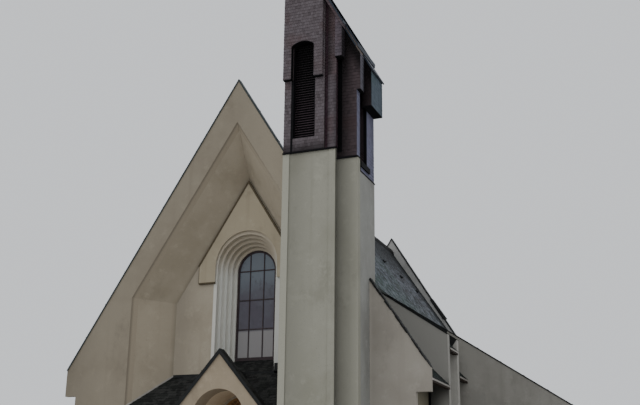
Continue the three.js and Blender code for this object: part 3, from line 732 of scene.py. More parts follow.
# Darker copy of the shingles: painted shade in the groove and on the slot's side.
SHADED_GROOVE_SHINGLES = shingles(
    "shaded_groove_shingle", (0.0416, 0.024, 0.0312), (0.0546, 0.0324, 0.0416), (0.039, 0.018, 0.0221),
)

METAL = metal("dark_metal", (0.012, 0.013, 0.013), 0.55)
BLACK_METAL = metal("black_metal", (0.006, 0.006, 0.007), 0.75, 0.12)
GABLE_METAL = metal("gable_metal", (0.03, 0.039, 0.04), 0.55)
ROOF_METAL = metal("roof_metal", (0.02, 0.027, 0.04), 0.5)
WINDOW_METAL = metal("window_metal", (0.035, 0.024, 0.026), 0.45)
TRIM = metal("panel_trim_paint", (0.095, 0.075, 0.045), 0.7)
FASCIA = metal("fascia_paint", (0.34, 0.32, 0.29), 0.6)
BELFRY_EDGE = metal("belfry_edge_paint", (0.13, 0.105, 0.09), 0.7)
CLADDING = boards("cladding_boards", (0.05, 0.038, 0.038), (0.025, 0.019, 0.02), "Z")
# Painted shadow of the hood: the blades turn black towards their top.
BLADES = boards(
    "louvre_boards", (0.075, 0.052, 0.062), (0.035, 0.025, 0.03), "X",
    [("Z", 22, 17.2, 0.92, (0.004, 0.003, 0.004))],
)
# Near black for painted shade under the eaves, brown towards the front where light reaches under them.
SHADED_SOFFIT = boards(
    "shaded_soffit_boards", (0.03, 0.02, 0.015), (0.015, 0.01, 0.008), "Y",
    [("Y", FRAME_DEPTH, 3.5, 0.9, (0.24, 0.145, 0.095))],
)
DOORS = boards("door_boards", (0.16, 0.085, 0.04), (0.07, 0.035, 0.018), "Z")
LATTICE = boards("lattice_wood", (0.3, 0.17, 0.07), (0.16, 0.08, 0.03), "Z")
GLASS = glass("glass", (0.043, 0.035, 0.055), (0.106, 0.13, 0.158), (0.24, 0.228, 0.222))

# Finishes of the part's own nodes, and of those that each side has.
NODE_LOOKS = (
    (CONCRETE, "floor_slab"),
    (FRONT_COAT, "front_gable_left"),
    (RIGHT_COAT, "front_gable_right"),
    (RECESS_COAT, "recess_surround"),
    (BACK_COAT, "nave_front_wall"),
    (NICHE_COAT, "window_surround"),
    (PORCH_COAT, "porch"),
    (VAULT_COAT, "vestibule_walls"),
    (REAR_COAT, "rear_wall"),
    (TOWER_FRONT_COAT, "tower_front_wall"),
    (TOWER_COAT, "tower_left_wall", "tower_right_wall", "tower_back_wall"),
    (CLADDING, "belfry_front", "belfry_left", "belfry_right", "belfry_back"),
    (CLADDING, "belfry_front_hood", "belfry_side_hood"),
    (BELFRY_EDGE, "belfry_roof"),
    (METAL, "vestibule_roof", "porch_roof", "porch_coping", "window_sill", "belfry_louvres"),
    (WINDOW_METAL, "window_frame"),
    (GLASS, "window_glass", "rear_window_glass"),
    (DOORS, "entrance_door_left", "entrance_door_right", "entrance_fanlight"),
)
SIDE_LOOKS = (
    (SHADED_SOFFIT, "nave_roof", "wing_roof", "low_roof_front", "low_roof_middle", "low_roof_rear"),
    (AISLE_COAT, "aisle_wall"),
    (PIER_COAT, "fin_pier"),
    (SIDE_COAT, "wing_front_wall", "wing_side_wall"),
    (GLASS, "wing_windows"),
)


def dress(look, node):
    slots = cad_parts[node].data.materials
    slots.clear()
    slots.append(look)


for look, *nodes in NODE_LOOKS:
    for node in nodes:
        dress(look, node)
for look, *nodes in SIDE_LOOKS:
    for node in nodes:
        for side, _ in SIDES:
            dress(look, f"{node}_{side}")


def tiled(name, material, slot, tile, areas):
    """One piece of tiles. Each area is a plane, its loops and the seed of its draws."""
    shape = Shape()
    for plane, loops, seed in areas:
        tile_area(shape, plane, loops, tile, seed)
    shape.piece(name, material, slot)


def slated(name, material, *areas):
    tiled(name, material, "slate", SLATE, areas)


# Roofs
def slope_loop(sign, roof, y0, y1, x0, x1):
    """Rectangle on a roof, from x0 at its upper edge to x1, in the roof's own u and v."""
    run = math.hypot(1, roof[1])
    return rectangle(*sorted((sign * y0, sign * y1)), -x1 * run, -x0 * run)


def front_bay_loop(sign, y0, y1, x0, x1):
    """Steep roof of the front bay, around the recess's curb and on the right around the tower."""
    gap = 0.01
    run = math.hypot(1, STEEP[1])
    beside_curb, behind_tower, beside_tower = CURB_HALF + gap, TOWER_BACK + gap, TOWER_RIGHT + gap
    near = [(y0, beside_curb)]
    if sign > 0:
        near = [(behind_tower, beside_curb), (behind_tower, beside_tower), (y0, beside_tower)]
    corners = [(ROOF_FRONT, x0), (ROOF_FRONT, beside_curb), *near, (y0, x1), (y1, x1), (y1, x0)]
    return [(sign * y, -x * run) for y, x in corners]


def add_fascia(pale, dark, sign, x, top, drop, y0, y1):
    """Pale edge strip on an eave over a dark board, with a bead along its foot."""
    back, board, bead, strip, foot = x - 0.01, x + 0.025, x + 0.045, top - 0.125, top - drop
    edge = [(back, top - 0.03), (bead, top - 0.04), (bead, strip), (back, strip)]
    outline = [
        (back, strip),
        (board, strip),
        (board, foot + 0.03),
        (bead, foot + 0.02),
        (bead, foot - 0.015),
        (back, foot - 0.015),
    ]
    for shape, loop in ((pale, edge), (dark, outline)):
        shape.prism([(sign * a, y0, z) for a, z in loop], (0, y1 - y0, 0))


def side_roofs(name, sign):
    """Slates and fascias on one side of the nave."""
    overhang = 0.05
    flare_start = crossing(STEEP, FLARE)
    nave = [slope_loop(sign, STEEP, ROOF_FRONT, ROOF_BACK, 0, NAVE_EAVE)]
    slated(f"nave_slates_{name}", SLATES, (roof_face(sign, STEEP), nave, 1))
    wing = [
        (roof_face(sign, roof), [slope_loop(sign, roof, WING_BACK, ROOF_BACK, x0, x1)], 1)
        for roof, x0, x1 in ((STEEP, NAVE_EAVE, flare_start), (FLARE, flare_start, WING_EAVE + overhang))
    ]
    slated(f"wing_slates_{name}", SLATES, *wing)

    edge, board = Shape(), Shape()
    for bay, y0, y1, crest, flared in BAYS:
        low = (crest, LOW_SLOPE)
        planes = [STEEP, FLARE, low] if flared else [STEEP, low]
        edges = [NAVE_EAVE, *(crossing(a, b) for a, b in zip(planes, planes[1:])), LOW_EAVE + overhang]
        areas = []
        for plane, x0, x1 in zip(planes, edges, edges[1:]):
            loop = slope_loop(sign, plane, y0, y1, x0, x1)
            if plane == STEEP and y0 < ROOF_FRONT:
                loop = front_bay_loop(sign, y0, y1, x0, x1)
            areas.append((roof_face(sign, plane), [loop], 2))
        slated(f"{bay}_bay_slates_{name}", SHADED_BAY_SLATES, *areas)
        add_fascia(edge, board, sign, LOW_EAVE, height(low, LOW_EAVE), EAVE_DROP, y0, y1)
    add_fascia(edge, board, sign, WING_EAVE, height(FLARE, WING_EAVE), WING_DROP, WING_BACK, ROOF_BACK)
    edge.piece(f"eave_edges_{name}", FASCIA, "render")
    # The boards take the soffit's painted shade.
    board.piece(f"eave_boards_{name}", SHADED_SOFFIT, "timber")


def ridge():
    """Folded caps along the ridge, each over the one behind it."""
    shape = Shape()
    half, side, thick, length = 0.17, 0.2, 0.035, 0.5
    foot, inner = height(STEEP, half), half - thick
    shoulder = foot + side
    for i in range(round((ROOF_BACK - ROOF_FRONT) / length)):
        y, odd = ROOF_FRONT + i * length, i % 2
        top = RIDGE_TOP + 0.012 * odd
        over = [(-half, foot), (-half, shoulder), (0, top), (half, shoulder), (half, foot)]
        under = [(inner, foot), (inner, shoulder), (0, RIDGE_TOP - 0.06), (-inner, shoulder), (-inner, foot)]
        shape.prism([(x, y, z) for x, z in over + under], (0, length + 0.02 * odd, 0))
    shape.piece("ridge_caps", DARK_SLATES, "slate")


def snow_hooks():
    """Bent hooks of flat iron that hold the snow on the steep slopes."""
    shape = Shape()
    run = math.hypot(1, STEEP[1])
    for sign in (1, -1):
        plane = roof_face(sign, STEEP)
        for i in range(HOOK_COUNT):
            y = HOOK_START + HOOK_PITCH * i
            x = HOOK_LINE + max(0.0, y - HOOK_BEND) * HOOK_FALL
            u, v = sign * y, -x * run
            shape.box(plane, u - 0.02, u + 0.02, v - 0.12, v + 0.4, 0.016, 0.035)
            shape.box(plane, u - 0.06, u + 0.06, v - 0.14, v - 0.1, 0.016, 0.2)
            shape.bar(plane, (u, v - 0.12), (u, v + 0.1), 0.03, 0.03, 0.12)
    shape.piece("snow_hooks", METAL, "dark_metal")


def downpipe(name, sign):
    """Round pipe with its brackets, in the corner between the aisle wall and the first fin."""
    shape = Shape()
    turns = [2 * math.pi * i / 12 for i in range(12)]
    brackets = [(foot, BRACKET_TALL, BRACKET_RADIUS) for foot in BRACKET_FEET]
    for foot, tall, wide in [(PIPE_FOOT, PIPE_TOP - PIPE_FOOT, PIPE_RADIUS), *brackets]:
        ring = [(sign * PIPE_X + wide * math.cos(a), PIPE_Y + wide * math.sin(a), foot) for a in turns]
        shape.prism(ring, (0, 0, tall))
    shape.piece(f"downpipe_{name}", BLACK_METAL, "dark_metal")


# Copings and verges
def seams(shape, plane, path, foot, w0, w1, pitch=2.0, half=0.02, least=1):
    """Standing seams where the sheets on a path meet. Each straight part has at least that many sheets."""
    for start, end in zip(path, path[1:]):
        start, end = Vector(start), Vector(end)
        count = max(least, round((end - start).length / pitch))
        run = (end - start).normalized() * half
        for i in range(1, count):
            joint = start.lerp(end, i / count)
            shape.strip(plane, [joint - run, joint + run], foot, foot + 0.02, w0, w1)


def cap(shape, path, y0, y1, thick, lip, over):
    """Sheet metal over the top of a wall, folded down at both faces, with seams."""
    plane = front_face(y0 - over)
    depth, sheet = y1 - y0 + 2 * over, 0.015
    shape.strip(plane, path, 0.0, thick, -depth, 0)
    for w in (0.0, sheet - depth):
        shape.strip(plane, path, -lip, 0.0, w - sheet, w)
    seams(shape, plane, path, thick, -depth - 0.005, 0.005)


def front_copings():
    """Coping of the front gable, and the sheet on the curb behind it."""
    rake = (GABLE_APEX - LEFT_EAVE[1]) / -LEFT_EAVE[0]
    path = [LEFT_EAVE, (0, GABLE_APEX), (TOWER_LEFT, GABLE_APEX - rake * TOWER_LEFT)]
    shape = Shape()
    cap(shape, path, 0, FRAME_DEPTH, 0.035, 0.035, 0.035)
    shape.piece("gable_coping", GABLE_METAL, "dark_metal")

    curb = Shape()
    places = (-CURB_HALF, 0, TOWER_LEFT)
    left, top, beside_tower = ((x, height(STEEP, abs(x)) + CURB_RISE) for x in places)
    right = (CURB_HALF, left[1])
    plane = front_face(FRAME_DEPTH)
    back = FRAME_DEPTH - ROOF_FRONT - 0.03
    curb.strip(plane, [left, top, beside_tower], 0, 0.02, back, 0)
    curb.strip(plane, [beside_tower, right], 0, 0.02, back, FRAME_DEPTH - TOWER_BACK - 0.01)
    curb.strip(plane, [left, top, right], -0.12, 0, back, back + 0.015)
    curb.piece("curb_sheet", METAL, "dark_metal")


def slate_verge():
    """Bedded slates along the right rake of the front frame, thinner towards the eave."""
    shape = Shape()
    chance = random.Random(5)
    plane = front_face(0)
    count, cover = 23, 1.35
    top = Vector((TOWER_RIGHT, RIGHT_EAVE[1] + RIGHT_RAKE * (RIGHT_EAVE[0] - TOWER_RIGHT)))
    foot = Vector(RIGHT_EAVE)
    for i in range(count):
        share = i / count
        start = top.lerp(foot, share)
        end = top.lerp(foot, min(1.0, (i + cover) / count))
        run = (end - start).normalized()
        side = Vector((-run.y, run.x))
        rise = VERGE_RISE[0] + (VERGE_RISE[1] - VERGE_RISE[0]) * share + chance.uniform(-0.012, 0.012)
        drop = VERGE_DROP[0] + (VERGE_DROP[1] - VERGE_DROP[0]) * share + chance.uniform(-0.02, 0.02)
        front = 0.03 + chance.uniform(0, 0.02)
        crown = [tuple(end + side * (rise * 0.86)), tuple(start + side * (rise + 0.02))]
        face = [tuple(start - side * drop), tuple(end - side * (drop * 0.9)), *crown]
        shape.plate(plane, face, 0.001, front)
        shape.plate(plane, [tuple(start), tuple(end), *crown], -FRAME_DEPTH - 0.03, 0.001)
    shape.piece("right_verge_slates", DARK_SLATES, "slate")


def side_copings(name, sign):
    """Caps of the fins and of the wing's front wall on one side, with flashing on their faces."""
    shape = Shape()
    inner = NAVE_EAVE + 0.01
    for walls, crest, end, flashing_end in (
        (FINS, FIN_CREST, FIN_END, FIN_END),
        ([WING_WALL], WING_CREST, WING_END, WING_FLASHING_END),
    ):
        start = crossing(STEEP, crest)
        top = (start, height(crest, start))
        covered = [(inner, height(STEEP, inner)), top, (end, height(crest, end))]
        flashing = [top, (flashing_end, height(crest, flashing_end))]
        if sign < 0:
            covered, flashing = mirrored(covered), mirrored(flashing)
        for y0, y1 in walls:
            cap(shape, covered, y0, y1, 0.03, 0.015, 0.03)
            depth = 0.03 if y0 == FINS[0][0] else 0.4
            shape.strip(front_face(y0), flashing, -depth, 0, 0, 0.012)
    shape.piece(f"fin_and_wing_copings_{name}", METAL, "dark_metal")


def rear_coping():
    """Caps of the rear gable, with a wider band below the joint on each rake."""
    shape = Shape()
    y0, y1 = REAR_WALL
    knee_x, knee_z = REAR_KNEE
    rake = (REAR_APEX - knee_z) / knee_x
    foot = (WING_END, knee_z - WING_CREST[1] * (WING_END - knee_x))
    joint, step = ((x, REAR_APEX - rake * x) for x in (REAR_JOINT, REAR_STEP))
    cap(shape, [(-joint[0], joint[1]), (0, REAR_APEX), joint], y0, y1, 0.05, 0.03, 0.04)
    for path in ([step, REAR_KNEE], [REAR_KNEE, foot]):
        for side in (path, mirrored(path)):
            cap(shape, side, y0, y1, 0.045, 0.03, 0.04)
    low, middle, high = (offset_path([joint, step], out) for out in (-0.1, 0.08, 0.14))
    band = [*low, high[1], middle[0]]
    for outline in (band, mirrored(band)):
        shape.plate(front_face(y0 - 0.045), outline, y0 - y1 - 0.09, 0)
    shape.piece("rear_coping", METAL, "dark_metal")


def panel_trim():
    """Brown sheet along the slanted edges of the gabled panel, with brown strips under its feet and along
    its upright edges.
    """
    shape = Shape()
    half, base, shoulder, apex, front = PANEL
    plane = front_face(front)
    depth = RECESS_DEPTH - front
    shape.strip(plane, [(-half, shoulder), (0, apex), (half, shoulder)], 0, 0.085, -depth, 0.02)
    for sign, beside_arch in ((1, 0.35), (-1, 0.03)):
        ends = sorted((sign * (PANEL_ARCH_HALF + beside_arch), sign * half))
        shape.box(plane, *ends, base - 0.075, base, -depth, 0.012)
        edge = sorted((sign * half, sign * (half + 0.02)))
        shape.box(plane, *edge, base - 0.03, shoulder + 0.03, -depth, 0.005)
    shape.piece("panel_trim", TRIM, "panel_render")


# Windows and doors
def upright(outline, u):
    """The part of the upright line at u that lies inside the outline."""
    return chords(outline, (0, 1), 1000, -u)


def level(outline, v):
    return chords(outline, (1, 0), 1000, v)


def bars(shape, plane, outline, inner, uprights, levels):
    """Bars across an opening. Either kind has its places, the width of a bar and its outer face."""
    for lines, (places, width, outer) in ((upright, uprights), (level, levels)):
        for place in places:
            for a, b in lines(outline, place):
                shape.bar(plane, a, b, width, inner, outer)


def end_windows():
    """Bars of the front window and of the rear one, which has a frame and a sill too."""
    outline = arch(0, WINDOW_HALF, WINDOW_SILL, WINDOW_SPRING, steps=32)
    mullions = (-MULLION, MULLION)
    front = Shape()
    plane, inner = front_face(WINDOW_FRONT), -0.035
    bars(front, plane, outline, inner, (mullions, 0.05, -0.004), (TRANSOMS, 0.055, 0.0))
    front.strip(plane, outline, 0, 0.03, inner, -0.01, closed=True)
    front.piece("window_bars", WINDOW_METAL, "dark_metal")

    back = Shape()
    plane, inner = back_face(REAR_WALL[1]), -0.185
    half = WINDOW_HALF + 0.05
    bars(back, plane, outline, inner, (mullions, 0.06, -0.13), (TRANSOMS, 0.06, -0.12))
    back.strip(plane, outline, 0, 0.08, inner, -0.1, closed=True)
    back.box(plane, -half, half, WINDOW_SILL - 0.04, WINDOW_SILL + 0.005, inner, 0.06)
    back.piece("rear_window_bars", WINDOW_METAL, "dark_metal")


def wing_windows(name, sign):
    """Frames, bars and sills of one wing's windows."""
    shape = Shape()
    plane = side_face(sign, sign * WING_FACE)
    depth = WING_GLASS - WING_FACE
    levels = ((WING_WINDOW_SILL + 0.8, WING_WINDOW_SPRING), 0.045, depth + 0.065)
    half = WING_WINDOW_HALF + 0.05
    for u in (sign * y for y in WING_WINDOWS):
        outline = arch(u, WING_WINDOW_HALF, WING_WINDOW_SILL, WING_WINDOW_SPRING)
        shape.strip(plane, outline, 0, 0.06, depth, depth + 0.09, closed=True)
        bars(shape, plane, outline, depth, ([u], 0.045, depth + 0.06), levels)
        sill = (WING_WINDOW_SILL - 0.04, WING_WINDOW_SILL + 0.006)
        shape.box(plane, u - half, u + half, *sill, depth + 0.05, 0.05)
    shape.piece(f"wing_window_frames_{name}", WINDOW_METAL, "dark_metal")


LEAN_RISE = (LEAN_HIGH - LEAN_LOW) / RECESS_DEPTH


def lean_height(y):
    return LEAN_LOW + LEAN_RISE * y


def porch_edge(y):
    """Where the porch's roof meets the lean-to roof, from the axis."""
    crest, fall = PORCH_ROOF
    return (crest - lean_height(y)) / fall


def jamb(y):
    """Where the splayed side of the recess is, from the axis."""
    return RECESS_HALF[0] + (RECESS_HALF[1] - RECESS_HALF[0]) * y / RECESS_DEPTH


def lean_to():
    """Slates on the lean-to roof and on the steep sill of the window."""
    low, high, beside_tower = LEAN_EAVE - 0.04, RECESS_DEPTH, TOWER_LEFT - 0.01
    left = [(-jamb(low), low), (-porch_edge(low), low), (-porch_edge(high), high), (-jamb(high), high)]
    right = [
        (porch_edge(low), low),
        (beside_tower, low),
        (beside_tower, TOWER_BACK),
        (jamb(TOWER_BACK), TOWER_BACK),
        (jamb(high), high),
        (porch_edge(high), high),
    ]
    loops = [[(x, y * math.hypot(1, LEAN_RISE)) for x, y in loop] for loop in (left, right)]
    plane = Plane((0, 0, LEAN_LOW), (1, 0, 0), (0, 1, LEAN_RISE))
    slated("lean_to_slates", DARK_SLATES, (plane, loops, 1))

    deep = SILL_BACK - RECESS_DEPTH
    slope = (SILL_HIGH - LEAN_HIGH) / deep
    run = math.hypot(1, slope)
    plane = Plane((0, RECESS_DEPTH, LEAN_HIGH), (1, 0, 0), (0, 1, slope))
    steps = []
    for i, half in enumerate(NICHE_HALVES):
        ends = (i * NICHE_STEP * run, min((i + 1) * NICHE_STEP, deep) * run)
        steps.append((plane, [rectangle(-half, half, *ends)], i))
    slated("window_sill_slates", DARK_SLATES, *steps)


def lean_to_edges():
    """Lead along the back wall and mortar along the jambs, over the lean-to roof."""
    lead = Shape()
    wall = front_face(RECESS_DEPTH)
    beside_porch = (porch_edge(RECESS_DEPTH), RECESS_HALF[1] - 0.02, 0.1)
    beside_niche = (NICHE_HALVES[0], 1.815, 0.48)
    for sign in (1, -1):
        for inner, outer, top in (beside_porch, beside_niche):
            ends = sorted((sign * inner, sign * outer))
            lead.box(wall, *ends, LEAN_HIGH - 0.05, LEAN_HIGH + top, 0.001, 0.012)
    lead.piece("lean_to_flashing", METAL, "dark_metal")

    mortar = Shape()
    for sign, y0 in ((1, TOWER_BACK), (-1, 0.0)):
        ends = [Vector((sign * (jamb(y) - 0.012), y, lean_height(y))) for y in (y0, RECESS_DEPTH)]
        above = [p + Vector((0, 0, 0.09)) for p in reversed(ends)]
        mortar.prism(ends + above, (-sign * 0.012, -0.012, 0))
    mortar.piece("lean_to_mortar", FASCIA, "render")


def porch_roofs():
    """Slates on the porch and the sheet on its coping."""
    run = math.hypot(1, PORCH_ROOF[1])
    start, end, wall = PORCH_BACK + 0.05, LEAN_EAVE, RECESS_DEPTH
    outline = [(start, 0), (wall, 0), (wall, porch_edge(wall)), (end, porch_edge(end))]
    outline += [(end, PORCH_EAVE), (start, PORCH_EAVE)]
    slopes = [
        (roof_face(sign, PORCH_ROOF), [[(sign * y, -x * run) for y, x in outline]], 1) for sign in (1, -1)
    ]
    slated("porch_slates", DARK_SLATES, *slopes)

    sheet = Shape()
    plane = front_face(COPING_FRONT)
    depth, thick, lip = COPING_DEPTH + 0.02, 0.012, 0.15
    path = [(x, height(PORCH_COPING, abs(x))) for x in (-COPING_HALF, 0, COPING_HALF)]
    sheet.strip(plane, path, 0, thick, -depth, 0.015)
    sheet.strip(plane, path, -lip, 0, 0.001, 0.015)
    seams(sheet, plane, path, thick, -depth, 0.02, pitch=1.2, half=0.015, least=2)
    sheet.piece("porch_coping_sheet", METAL, "dark_metal")


def doors():
    """Rails, stiles and boards of both door leaves, with their handles, plates and hinges."""
    plane = front_face(DOOR_FRONT)
    shape = Shape()
    top, half, foot = DOOR_TOP, DOOR_HALF, FLOOR + 0.02
    stile, gap, planks = 0.11, 0.008, 6
    rails = ((foot, 0.22), (FLOOR + 0.95, 0.12), (FLOOR + 1.9, 0.12), (top - 0.13, 0.12))
    for u0, u1 in ((gap, half - gap), (gap - half, -gap)):
        left, right = u0 + stile, u1 - stile
        for a, b in ((u0, left), (right, u1)):
            shape.box(plane, a, b, foot, top - 0.01, 0, 0.035)
        for v, tall in rails:
            shape.box(plane, left, right, v, v + tall, 0, 0.03)
        plank = (u1 - u0 - 2 * stile) / planks
        for i in range(planks):
            a = left + i * plank
            shape.box(plane, a + 0.006, a + plank - 0.006, FLOOR + 0.2, top - 0.1, 0, 0.015)
    shape.box(plane, -half, half, top - 0.03, top + 0.07, 0, 0.05)
    shape.piece("door_panels", DOORS, "timber")

    metalwork = Shape()
    for sign in (1, -1):
        grip, hinge = sign * 0.16, sign * (half - 0.02)
        metalwork.box(plane, grip - 0.015, grip + 0.015, 0.95, 1.55, 0.075, 0.1)
        for v in (1.0, 1.47):
            metalwork.box(plane, grip - 0.012, grip + 0.012, v, v + 0.03, 0.03, 0.08)
        metalwork.box(plane, grip - 0.03, grip + 0.03, 1.12, 1.2, 0.035, 0.045)
        for v in (0.45, 1.6, 2.7):
            metalwork.box(plane, hinge - 0.015, hinge + 0.015, v, v + 0.14, 0.03, 0.055)
    metalwork.box(plane, -half, half, FLOOR, foot, -0.02, 0.08)
    metalwork.piece("door_handles_and_hinges", METAL, "dark_metal")


def fanlight():
    """Wooden lattice in the arch over the doors, of two layers that cross."""
    plane = front_face(DOOR_FRONT)
    grille = Shape()
    outline = arch(0, DOOR_HALF, DOOR_TOP + 0.07, VAULT_SPRING, steps=24)
    grille.strip(plane, outline, 0, 0.07, 0, 0.055, closed=True)
    inside = offset_path(outline, 0.06, closed=True)
    for direction, low in (((1, 1), 0.002), ((1, -1), 0.02)):
        for a, b in chords(inside, direction, 0.19):
            grille.bar(plane, a, b, 0.035, low, low + 0.018)
    grille.piece("fanlight_lattice", LATTICE, "timber")


# Belfry
def belfry_under(x):
    return height(BELFRY_ROOF, x) - BELFRY_ROOF_THICK


def hood_over(x):
    return height((SIDE_HOOD_CREST, BELFRY_ROOF[1]), x)


def under_roof(x0, x1, base):
    """Outline in x and z from a base up to the belfry's roof."""
    return [(x0, base), (x1, base), (x1, belfry_under(x1)), (x0, belfry_under(x0))]


def louvre_arch(low, high, base, spring, rise):
    return arch((low + high) / 2, (high - low) / 2, base, spring, rise, 10)


def flipped(outline):
    return [(-u, v) for u, v in outline]


def side_area(sign, x, y0, y1, base, top, seed):
    """Tile area on an upright rectangle that looks to +x or -x."""
    return side_face(sign, x), [rectangle(*sorted((sign * y0, sign * y1)), base, top)], seed


def shingled(name, material, *areas):
    tiled(f"belfry_{name}_shingles", material, "shingle", SHINGLE, areas)


def belfry_front_shingles():
    """Shingles on the front: the wall, the groove, the column and the front hood."""
    x0, x1, sill = LOUVRE[:3]
    line0, line1 = SHADOW_LINE
    g0, g1 = GROOVE
    s0, slot_top = SLOT[0], SLOT[3]
    plane, foot, hood_base = front_face(BELFRY_FRONT), FOOT_FRONT, HOOD_BASE
    around = stepped(line1, foot, g0, hood_base, x1, sill, x0, hood_base)
    wall = [rectangle(BELFRY_LEFT, line0, foot, hood_base), around]
    beside_hood = [under_roof(HOOD_RIGHT, g0, hood_base)]
    shingled("front", SHINGLES, (plane, wall, 1), (plane, beside_hood, 1))
    groove = (front_face(BELFRY_FRONT + 0.1), [under_roof(g0, g1, foot)], 4)
    beside_slot = side_area(1, s0, BELFRY_FRONT, BELFRY_STEP, foot, slot_top, 5)
    shingled("groove", SHADED_GROOVE_SHINGLES, groove, beside_slot)
    shingled("column", COLUMN_SHINGLES, (plane, [rectangle(g1, s0, foot, hood_base)], 3))
    shingled("shaded", SHADED_SHINGLES, (plane, [under_roof(g1, s0, hood_base)], 3))

    notch = louvre_arch(*HOOD_CUT)
    face = [(HOOD_LEFT, hood_base), notch[0], *notch[:1:-1], notch[1]]
    face += under_roof(HOOD_LEFT, HOOD_RIGHT, hood_base)[1:]
    cheeks = [
        side_area(sign, x, HOOD_FRONT, BELFRY_FRONT, hood_base, belfry_under(x), 7)
        for sign, x in ((1, HOOD_RIGHT), (-1, HOOD_LEFT))
    ]
    shingled("hood", SHINGLES, (front_face(HOOD_FRONT), [face], 6), *cheeks)


def belfry_corner_shingles():
    """Shingles right of the column: the corner hood, the step, the leg and the side hood."""
    s0, s1, slot_base, slot_top = SLOT
    corner, leg, leg_base = CORNER_HOOD, CORNER_LEG, CORNER_LEG_BASE
    shingled(
        "corner", CORNER_SHINGLES,
        (front_face(HOOD_FRONT), [under_roof(s0, corner, slot_top)], 8),
        side_area(1, corner, HOOD_FRONT, BELFRY_STEP, slot_top, belfry_under(corner), 9),
        side_area(-1, s0, HOOD_FRONT, BELFRY_FRONT, slot_top, belfry_under(s0), 10),
    )
    hood = [(BELFRY_RIGHT, SIDE_HOOD_BASE), (SIDE_HOOD, SIDE_HOOD_BASE)]
    hood += [(x, hood_over(x)) for x in (SIDE_HOOD, BELFRY_RIGHT)]
    shingled("side_hood_front", HOOD_SHINGLES, (front_face(SIDE_HOOD_FRONT), [hood], 12))
    step = [(s0, FOOT_STEP), (BELFRY_RIGHT, FOOT_STEP), (BELFRY_RIGHT, leg_base), (leg, leg_base)]
    step += [(x, belfry_under(x)) for x in (leg, corner)]
    step += [(corner, slot_top), (s1, slot_top), (s1, slot_base), (s0, slot_base)]
    shingled("step", BROWN_SHINGLES, (front_face(BELFRY_STEP), [step], 11))
    behind = rectangle(-leg, -BELFRY_RIGHT, leg_base, belfry_under(leg))
    shingled(
        "leg", LEG_SHINGLES,
        side_area(1, leg, BELFRY_STEP, CORNER_LEG_BACK, leg_base, belfry_under(leg), 14),
        (back_face(CORNER_LEG_BACK), [behind], 15),
    )


def belfry_wall_shingles():
    """Shingles on the right, left and back walls and on the side hood."""
    sill = LOUVRE[2]
    y0, y1, _, side_spring, side_rise = SIDE_LOUVRE
    hood_top = hood_over(SIDE_HOOD)
    right = stepped(BELFRY_STEP, FOOT_STEP, RIGHT_DROP, FOOT_BACK, BELFRY_BACK, belfry_under(BELFRY_RIGHT))
    loops = [right, louvre_arch(*SIDE_LOUVRE)]
    shingled("right", SIDE_SHINGLES, (side_face(1, BELFRY_RIGHT), loops, 13))
    side = side_area(1, SIDE_HOOD, SIDE_HOOD_FRONT, BELFRY_BACK, SIDE_HOOD_BASE, hood_top, 16)
    shingled("side_hood", GREEN_SHINGLES, side)

    under = belfry_under(BELFRY_LEFT)
    left = stepped(-LEFT_DROP, FOOT_FRONT, -BELFRY_FRONT, under, -BELFRY_BACK, FOOT_BACK)
    loops = [left, flipped(louvre_arch(y0, y1, sill, side_spring, side_rise))]
    shingled("left", SHINGLES, (side_face(-1, BELFRY_LEFT), loops, 17))

    plane = back_face(BELFRY_BACK)
    wall = [flipped(under_roof(BELFRY_LEFT, BELFRY_RIGHT, FOOT_BACK)), flipped(louvre_arch(*LOUVRE))]
    hood = [(-SIDE_HOOD, SIDE_HOOD_BASE), (-BELFRY_RIGHT, SIDE_HOOD_BASE)]
    hood += [(-x, hood_over(x)) for x in (BELFRY_RIGHT, SIDE_HOOD)]
    shingled("back", SHINGLES, (plane, wall, 18), (plane, [hood], 19))


def add_blades(shape, plane, opening, w_out, w_in):
    """Sloping blades across an opening, cut to its head."""
    base, spring, rise = opening[2:]
    thick, lift = 0.018, 0.07
    v = base + 0.03
    while v + lift < spring + rise:
        outer, inner = ((v, w_out), (v + thick, w_out)), ((v + lift + thick, w_in), (v + lift, w_in))
        for a, b in level(louvre_arch(*opening), v + lift / 2):
            shape.prism([plane.at(a.x, z, w) for z, w in outer + inner], plane.across * (b.x - a.x))
        v += LOUVRE_PITCH


